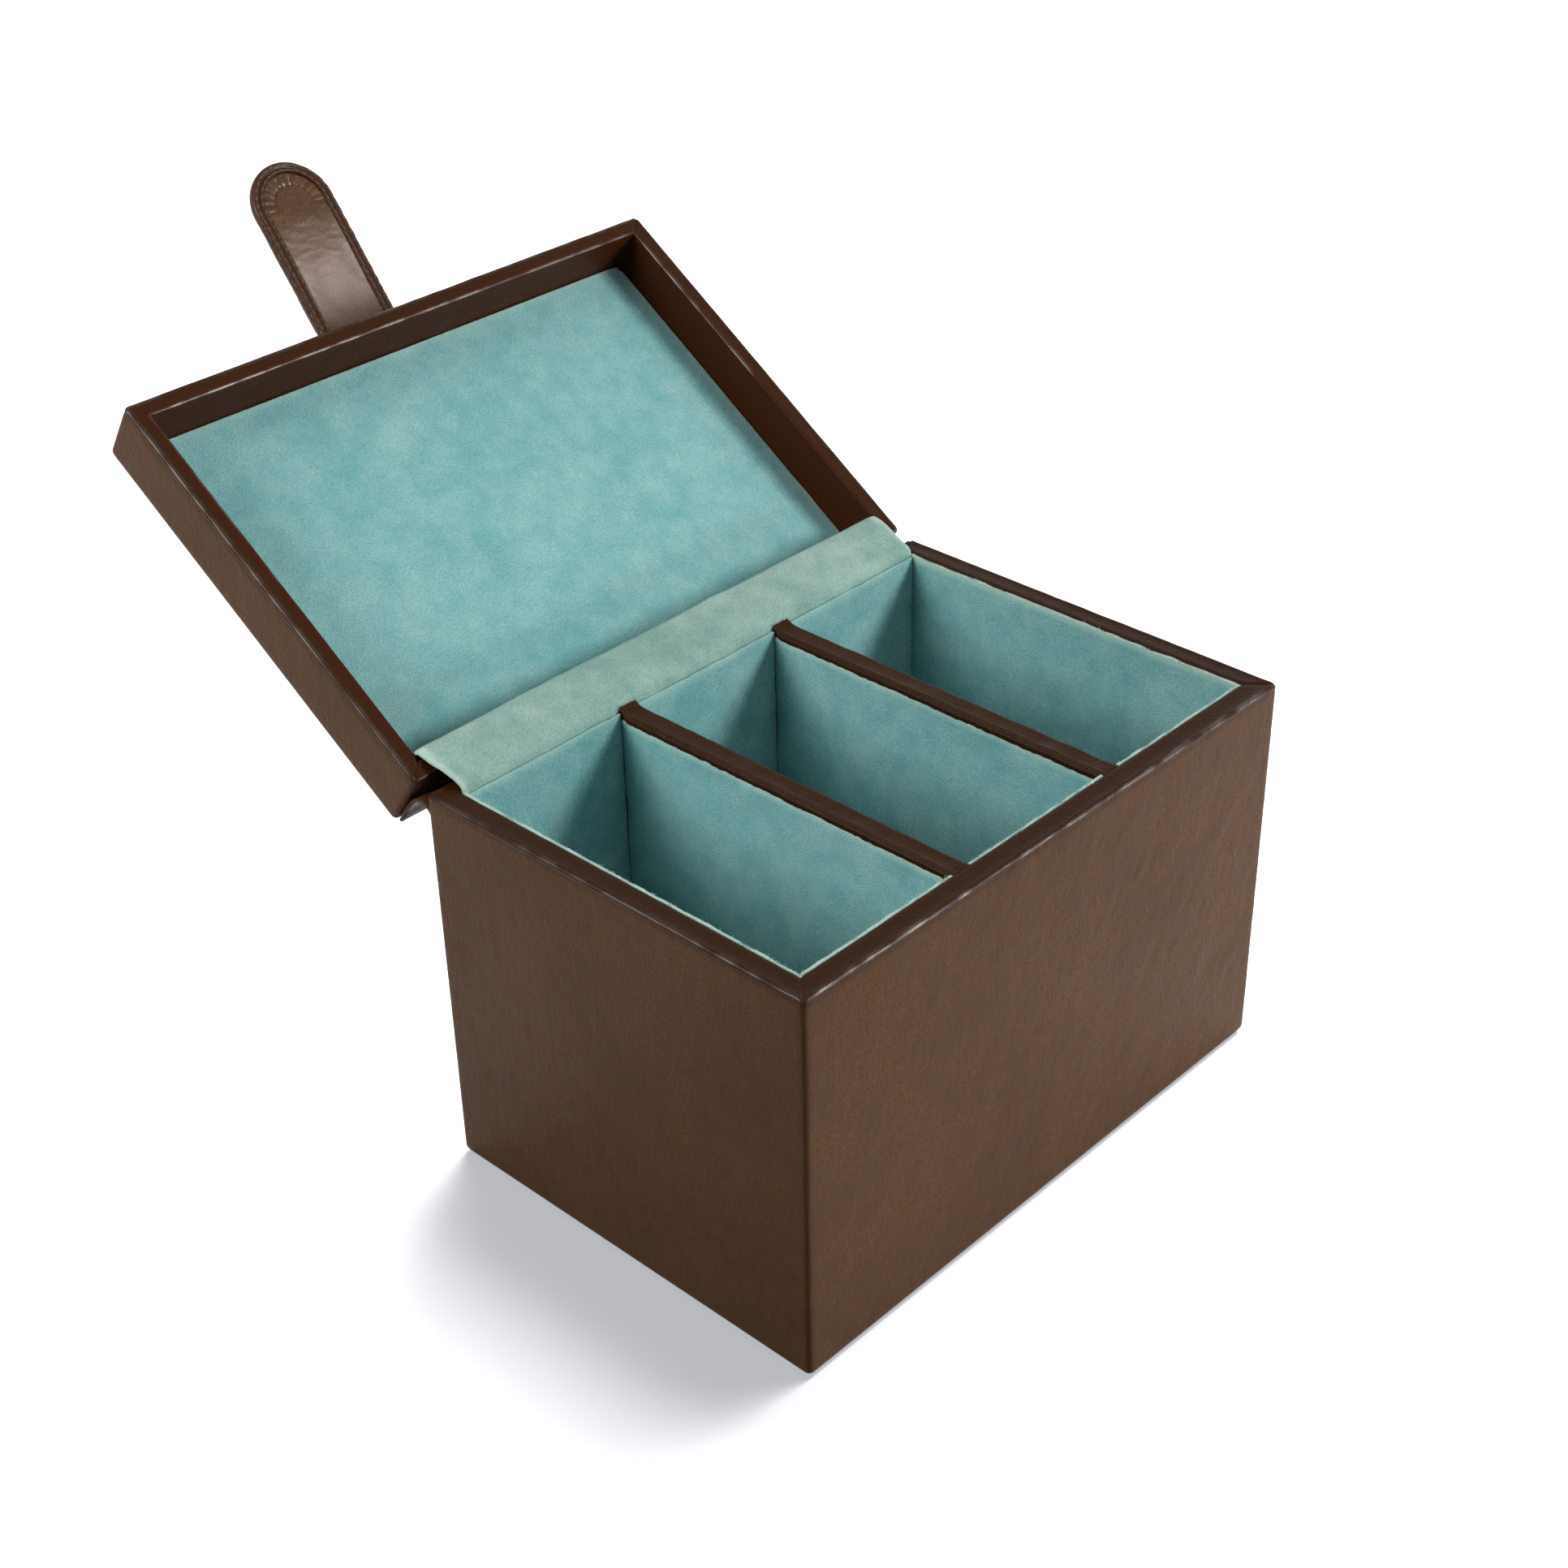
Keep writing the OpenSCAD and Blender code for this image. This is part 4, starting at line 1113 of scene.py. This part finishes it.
class CASE_OT_strap(bpy.types.Operator):
    """Makes the closing strap, its inner panel with the pleats round the magnet, and
    its stitching"""

    bl_idname = "case.strap"
    bl_label = "Strap"

    def execute(self, context):
        sizes = context.scene.case_sizes
        widen = sizes.border_width / MM / BORDER[-1][0]
        under = [(i * widen, h) for i, h in BORDER]
        self.body(under)
        self.inner_panel(under[-1][0])
        self.stitches("strap_stitches", "strap_stitching", "strap", sizes.stitch_pitch / MM)
        self.stitches("anchor_stitches", "anchor_stitching", "lid", sizes.stitch_pitch / MM)
        return {"FINISHED"}

    def body(self, under):
        """The strap's leather from its fixed end to the tip: the profile carried round
        the stadium, with the hollow for the inner panel."""
        inner_end = under[-1][0]
        profile = [(14.3, 1.4), (10.0, 1.4), (inner_end + 0.6, 1.35)] + under[::-1] + OUTER_FACE
        insets, heights = np.array(profile).T
        outline = stadium(insets, -ANCHOR_END, STRAP_END, 118, 34)
        past = outline[..., 1]
        up = strap_base(past) + heights[:, None]
        flat = np.stack([outline[..., 0], past, up], -1)
        where = flat.reshape(-1, 3)
        lumps = waves(where, 3.0, 71, count=20).reshape(up.shape)
        swell = waves(where, 12, 72).reshape(up.shape)
        border = np.isin(np.arange(len(profile)), np.arange(4, 4 + len(under)))[:, None]
        flat[..., 2] += np.where(border, 0.07 * lumps, 0.03 * lumps) + 0.06 * swell
        # the fixed end's underside is pressed flat on the lid
        on_lid = 1 - smoothstep(-2.5, 0.0, past)
        flat[..., 2] = np.maximum(flat[..., 2], 0.02 * on_lid)
        points, faces = shell(flat, ends=False, flip=True)
        last = (len(profile) - 1) * outline.shape[1]
        faces += long_faces(0, 118, 32, 32)
        faces += [face[::-1] for face in long_faces(last, 118, 32, 32)]
        # painted shade: darkest in the border's groove and at its inner edge, even on the outer face, and
        # part way over the whole body
        deep = np.where(heights < 1.6, np.interp(heights, (0.1, 0.6, 1.3), (0.0, 0.7, 1.0)), 0.25)
        worn = np.clip(0.45 + 0.55 * deep, 0, 1)[:, None] * np.ones(up.shape)
        piece = make_piece(
            "strap_leather", strap_place(points.reshape(flat.shape)), faces,
            material_of("strap_leather"), "brown_leather", worn=worn,
        )
        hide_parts("strap_anchor", "strap_bend", "strap_outer_leather")
        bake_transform(piece)

    def inner_panel(self, border):
        """The set-in leather on the strap's inner face: nearly flat, with pleats that fan
        out round the magnet and a raised disc on it."""
        insets = np.concatenate([[border - 0.7, border - 0.5, border - 0.2],
                                 np.arange(border + 0.1, 14.35, 0.26)])
        half = STRAP_HALF - insets[:, None]
        run = np.linspace(3.6, STRAP_TIP, 110)[None]
        round_tip = np.radians(np.linspace(180, 0, 74))[None, 1:-1]
        left = np.stack([-half + 0 * run, run + 0 * half], -1)
        tip = np.stack([half * np.cos(round_tip), STRAP_TIP + half * np.sin(round_tip)], -1)
        right = np.stack([half + 0 * run, run[:, ::-1] + 0 * half], -1)
        outline = np.concatenate([left, tip, right], 1)
        across, past = outline[..., 0], outline[..., 1]
        # pleats lie in a ring round the tip's centre, on the side away from the lid
        reach = np.hypot(across, past - STRAP_TIP)
        turn = np.arctan2(past - STRAP_TIP, across)
        fan = smoothstep(6.4, 7.4, reach) * (1 - smoothstep(9.6, 10.8, reach))
        fan *= smoothstep(-0.45, 0.0, turn) + smoothstep(2.75, 3.1, np.abs(turn)) * (turn < 0)
        ridge = np.sin(23 * turn + 0.9 * np.sin(3 * turn) + 0.15 * reach)
        pleats = fan * (0.17 * ridge + 0.09 * np.sin(41 * turn + 1.3)) * (0.75 + 0.25 * np.sin(5 * turn))
        disc = 0.18 * (1 - smoothstep(6.2, 7.2, reach))
        moat = -0.16 * np.exp(-((reach - 7.1) / 0.5) ** 2) * smoothstep(-0.5, 0.1, turn)
        where = np.stack([across, past, 0 * across], -1).reshape(-1, 3)
        crinkle = waves(where, 2.2, 81, stretch=(2.2, 1, 1), count=26).reshape(across.shape)
        swell = waves(where, 14, 82).reshape(across.shape)
        edge = smoothstep(0, 0.9, insets - insets[0])[:, None]
        rise = 0.42 * edge + edge * (pleats + disc + moat + 0.009 * crinkle + 0.04 * swell)
        level = 1.35 - rise
        up = strap_base(past) + level + edge * panel_swell(past)
        front = np.stack([across, past, up], -1)
        back = np.stack([across, past, strap_base(past) + 1.62], -1)
        grid = np.concatenate([front[::-1], back[:1]])
        points, faces = shell(grid, ends=False)
        faces += [face[::-1] for face in long_faces(0, 110, 72)]
        faces.append(list(range(len(points) - grid.shape[1], len(points))))
        # painted shade darkens the low places and the root, and the panel shines between its root and its
        # middle
        depth = np.concatenate([level[::-1], level[:1] * 0 + 1.6])
        from_lid = grid[..., 1]
        worn = np.clip((depth - 0.98) * 1.5, 0.0, 0.8)
        worn = np.maximum(worn, 0.3 * (1 - smoothstep(6.0, 20.0, from_lid)))
        band = smoothstep(12.0, 24.0, from_lid) * (1 - smoothstep(34.0, 50.0, from_lid))
        piece = make_piece(
            "strap_inner_panel", strap_place(points.reshape(grid.shape)), faces,
            material_of("strap_leather"), "brown_leather", worn=worn, polish=0.04 + 0.54 * band,
        )
        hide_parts("strap_inner_leather")
        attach(piece, "strap")

    def stitches(self, name, node, body, pitch):
        """Rows of stitches as small rounded beads: on the strap, in the border's two
        grooves and on the outer face, and on the lid, on the outer face of the fixed
        end."""
        rows = [self.stitch_row(height, inset, pitch, body) for height, inset in STITCHES[body]]
        points, faces = merge(rows)
        piece = make_piece(name, points, faces, material_of("waxed_thread"), "thread")
        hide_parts(node)
        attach(piece, body)

    def stitch_row(self, height, inset, pitch, body):
        """Beads along the outline at one inset, past the lid's edge for the strap and
        over the lid for its fixed end. Each is an ellipsoid of 6 rings of 6 points, long
        along the outline."""
        line = stadium([inset], -ANCHOR_END, STRAP_END, 400, 160)[0]
        line = np.concatenate([line, line[:1]])
        step = np.linalg.norm(np.diff(line, axis=0), axis=1)
        run = np.concatenate([[0], np.cumsum(step)])
        at = np.arange(0.3, run[-1] - pitch / 2, pitch)
        centre = np.stack([np.interp(at, run, line[:, k]) for k in (0, 1)], -1)
        ahead = np.stack([np.interp(at + 0.3, run, line[:, k]) for k in (0, 1)], -1)
        along = ahead - centre
        along /= np.linalg.norm(along, axis=1, keepdims=True)
        keep = centre[:, 1] > 4.0 if body == "strap" else centre[:, 1] < -2.0
        centre, along = centre[keep], along[keep]
        u = np.radians(np.linspace(12, 168, 6))[:, None]
        v = np.radians(np.arange(0, 360, 60))[None]
        shape = np.stack([
            0.29 * pitch * np.cos(u) + 0 * v, 0.24 * np.sin(u) * np.cos(v), 0.2 * np.sin(u) * np.sin(v)
        ], -1)
        side = np.stack([-along[:, 1], along[:, 0]], -1)
        flat = np.zeros((len(centre), 6, 6, 3))
        for k in (0, 1):
            flat[..., k] = (centre[:, k, None, None] + along[:, k, None, None] * shape[None, ..., 0]
                            + side[:, k, None, None] * shape[None, ..., 1])
        flat[..., 2] = strap_base(flat[..., 1]) + height + shape[None, ..., 2]
        return merge([shell(part) for part in strap_place(flat)])


# ---- hidden parts ------------------------------------------------------------------------------


# Hidden parts that aren't fibreboard
INNER_STUFF = {
    "lid_lining_card": "stiff_card", "strap_core": "stiff_card",
    "keeper_plate": "plain_steel", "strap_magnet": "nickel_plate",
}


class CASE_OT_inner_parts(bpy.types.Operator):
    """Gives the boards, cards, keeper plate and magnet their own materials"""

    bl_idname = "case.inner_parts"
    bl_label = "Boards and metal"

    def execute(self, context):
        for name, node in frame["nodes"].items():
            if node.hide_render:
                continue
            node.data.materials.clear()
            node.data.materials.append(material_of(INNER_STUFF.get(name, "raw_fibreboard")))
        return {"FINISHED"}


# ---- stage ---------------------------------------------------------------------------------------


# Camera: where it stands, the way it looks from and its roll in degrees, and the focal
# length in units of the frame's width
CAMERA_PLACE = (-0.45112, -0.39830, 0.49343)
CAMERA_AZIMUTH, CAMERA_ELEVATION, CAMERA_ROLL = -46.407, 32.51, -1.168
FOCAL_WIDTHS = 3138.1 / 1932

WARM_WHITE = (1.0, 0.985, 0.965)
# Lamps of the pieces: place and aim in metres, width, height, watts and tint
LAMPS = {
    "front_softbox": ((0.72, -1.23, 0.80), (0, 0, 0.08), 0.4, 0.4, 18.0, WARM_WHITE),
    "left_softbox": ((-0.72, 0.34, 0.61), (0, 0, 0.08), 0.5, 0.5, 7.3, WARM_WHITE),
    "low_softbox": ((0.90, -1.40, 0.12), (0, 0, 0.08), 0.7, 0.25, 11.6, (1.0, 0.97, 0.94)),
    "top_softbox": ((0.0, -0.80, 1.20), (0, 0.10, 0.15), 0.5, 0.5, 1.9, (1.0, 0.94, 0.92)),
    "edge_lamp": ((0.88, -0.68, 1.19), (0, 0.05, 0.15), 0.13, 0.13, 2.2, (1.0, 0.97, 0.95)),
}
FLOOR_LAMP = ((0.72, 0.13, 1.45), (0, 0, 0.0), 1.2, 1.2, 64, WARM_WHITE)


def turned(right, up, back, place):
    """The matrix of an object whose own X, Y and Z axes point right, up and back."""
    return Matrix([[right[k], up[k], back[k], place[k]] for k in range(3)] + [[0, 0, 0, 1]])


def facing(back):
    """Level right and the up that goes with it, for an object that looks away from back."""
    right = np.cross([0, 0, 1], back)
    right /= np.linalg.norm(right)
    return right, np.cross(back, right)


def softbox(name, place, target, width, height, watts, tint):
    """A rectangular area light whose -Z axis points at the target."""
    lamp = bpy.data.lights.new(name, "AREA")
    lamp.shape = "RECTANGLE"
    lamp.size = width
    lamp.size_y = height
    lamp.energy = watts
    lamp.color = tint
    back = np.array(place, float) - np.array(target, float)
    back /= np.linalg.norm(back)
    found = bpy.data.objects.new(name, lamp)
    found.matrix_world = turned(*facing(back), back, place)
    bpy.context.scene.collection.objects.link(found)
    return found


def backdrop_rays(tree, path):
    """1 for the rays that see the surroundings: from the camera, a mirror or glass."""
    direct = add(tree, "Math", {"operation": "ADD", "use_clamp": True},
                 _0=path.outputs["Is Camera Ray"], _1=path.outputs["Is Glossy Ray"])
    seen = add(tree, "Math", {"operation": "ADD", "use_clamp": True},
               _0=direct.outputs[0], _1=path.outputs["Is Transmission Ray"])
    return seen.outputs[0]


class CASE_OT_stage(bpy.types.Operator):
    """Sets up the camera, the lights, the pale floor and the white surroundings"""

    bl_idname = "case.stage"
    bl_label = "Stage"

    def execute(self, context):
        scene = context.scene
        scene.view_settings.view_transform = "Standard"
        self.camera(scene)
        floor = self.floor()
        lamps = [softbox(name, *setting) for name, setting in LAMPS.items()]
        self.share_lamps(floor, lamps, softbox("floor_softbox", *FLOOR_LAMP))
        self.white_room(scene)
        return {"FINISHED"}

    def camera(self, scene):
        """The camera looks along -back, and its roll turns right and up about that."""
        azimuth, elevation, roll = np.radians([CAMERA_AZIMUTH, CAMERA_ELEVATION, CAMERA_ROLL])
        back = np.array([
            math.sin(azimuth) * math.cos(elevation), -math.cos(azimuth) * math.cos(elevation),
            math.sin(elevation),
        ])
        right, up = facing(back)
        rolled_right = right * math.cos(roll) + up * math.sin(roll)
        rolled_up = up * math.cos(roll) - right * math.sin(roll)
        lens = bpy.data.cameras.new("camera")
        lens.sensor_width = 36
        lens.lens = FOCAL_WIDTHS * 36
        lens.clip_start = 0.01
        camera = bpy.data.objects.new("camera", lens)
        camera.matrix_world = turned(rolled_right, rolled_up, back, CAMERA_PLACE)
        scene.collection.objects.link(camera)
        scene.camera = camera

    def white_room(self, scene):
        """A world that is white where it is seen and gives only a faint cool fill."""
        world = bpy.data.worlds.new("white_room")
        scene.world = world
        world.use_nodes = True
        tree = world.node_tree
        tree.nodes.clear()
        seen = backdrop_rays(tree, add(tree, "LightPath"))
        white = add(tree, "Background", Color=(1, 1, 1, 1), Strength=1.0)
        fill = add(tree, "Background", Color=(0.93, 0.96, 1.0, 1), Strength=0.04)
        mixed = add(tree, "MixShader", _0=seen, _1=fill.outputs[0], _2=white.outputs[0])
        output = add(tree, "OutputWorld")
        tree.links.new(mixed.outputs[0], output.inputs[0])

    def share_lamps(self, floor, lamps, above):
        """The floor takes its light from the lamp above it alone and the pieces from the
        others, and the case's cover alone shades the floor, so that the only shadow there
        is the soft one beside the case."""
        for lamp, state in [(lamp, "EXCLUDE") for lamp in lamps] + [(above, "INCLUDE")]:
            lit = bpy.data.collections.new(lamp.name + "_reach")
            lit.objects.link(floor)
            lit.collection_objects[0].light_linking.link_state = state
            lamp.light_linking.receiver_collection = lit
        shade = bpy.data.collections.new("floor_shadow")
        shade.objects.link(bpy.data.objects["body_leather_cover"])
        above.light_linking.blocker_collection = shade

    def floor(self):
        """A round pale floor 9 m in radius. The camera sees it brighter than it bounces
        light: pale near the case, where it keeps the shadow, and white away from it."""
        rings = np.linspace(0.1, 9, 24)[:, None]
        t = np.linspace(0, 2 * math.pi, 64, endpoint=False)[None]
        grid = np.stack([rings * np.cos(t), rings * np.sin(t), 0 * rings * t - 0.00005], -1) / MM
        points, faces = shell(grid, ends=False)
        faces.append(list(range(64)))
        material, tree, shader = new_material("pale_floor")
        shader.inputs["Roughness"].default_value = 0.9
        shader.inputs["Specular IOR Level"].default_value = 0.1
        backdrop = backdrop_rays(tree, add(tree, "LightPath"))
        base = ramp(tree, backdrop, 0.0, 1.0, (colour(srgb("#8b8c8e")), colour(srgb("#e9eaec"))))
        tree.links.new(base, shader.inputs["Base Color"])
        place = add(tree, "TexCoord").outputs["Object"]
        away = add(tree, "VectorMath", {"operation": "LENGTH"}, _0=place)
        fade = add(tree, "MapRange", _0=away.outputs["Value"], _1=0.35, _2=1.1, _3=0.485, _4=1.0)
        glow = add(tree, "Emission", Color=(0.92, 0.95, 1.0, 1), Strength=fade.outputs[0])
        none = add(tree, "Emission", Color=(0, 0, 0, 1), Strength=0.0)
        seen = add(tree, "MixShader", _0=backdrop, _1=none.outputs[0], _2=glow.outputs[0])
        both = add(tree, "AddShader", _0=shader.outputs[0], _1=seen.outputs[0])
        output = next(n for n in tree.nodes if n.type == "OUTPUT_MATERIAL")
        tree.links.new(both.outputs[0], output.inputs[0])
        floor = make_piece("floor", points, faces, material, None, smooth=False)
        return floor


class CASE_PT_panel(bpy.types.Panel):
    """Lists the case's sizes, colours and pieces"""

    bl_idname = "CASE_PT_panel"
    bl_label = "Leather jewellery case"
    bl_space_type = "VIEW_3D"
    bl_region_type = "UI"
    bl_category = "Case"

    def draw(self, context):
        for group in (context.scene.case_sizes, context.scene.case_colours):
            box = self.layout.box()
            for key in group.__annotations__:
                box.prop(group, key)
        for operator in OPERATORS:
            self.layout.operator(operator.bl_idname)


OPERATORS = (
    CASE_OT_body_leather, CASE_OT_divider_caps, CASE_OT_linings, CASE_OT_suede_fluff,
    CASE_OT_hinge_strips, CASE_OT_lid, CASE_OT_strap, CASE_OT_inner_parts, CASE_OT_stage,
)
CLASSES = (CaseSizes, CaseColours) + OPERATORS + (CASE_PT_panel,)


def register():
    """Adds the classes and the two groups of settings."""
    for cls in CLASSES:
        bpy.utils.register_class(cls)
    bpy.types.Scene.case_sizes = PointerProperty(type=CaseSizes)
    bpy.types.Scene.case_colours = PointerProperty(type=CaseColours)


def unregister():
    """Takes them out again."""
    del bpy.types.Scene.case_colours
    del bpy.types.Scene.case_sizes
    for cls in reversed(CLASSES):
        bpy.utils.unregister_class(cls)


def main():
    """Builds every piece and the stage."""
    register()
    bpy.ops.case.body_leather()
    bpy.ops.case.divider_caps()
    bpy.ops.case.linings()
    bpy.ops.case.suede_fluff()
    bpy.ops.case.hinge_strips()
    bpy.ops.case.lid()
    bpy.ops.case.strap()
    bpy.ops.case.inner_parts()
    bpy.ops.case.stage()


if __name__ == "__main__":
    main()
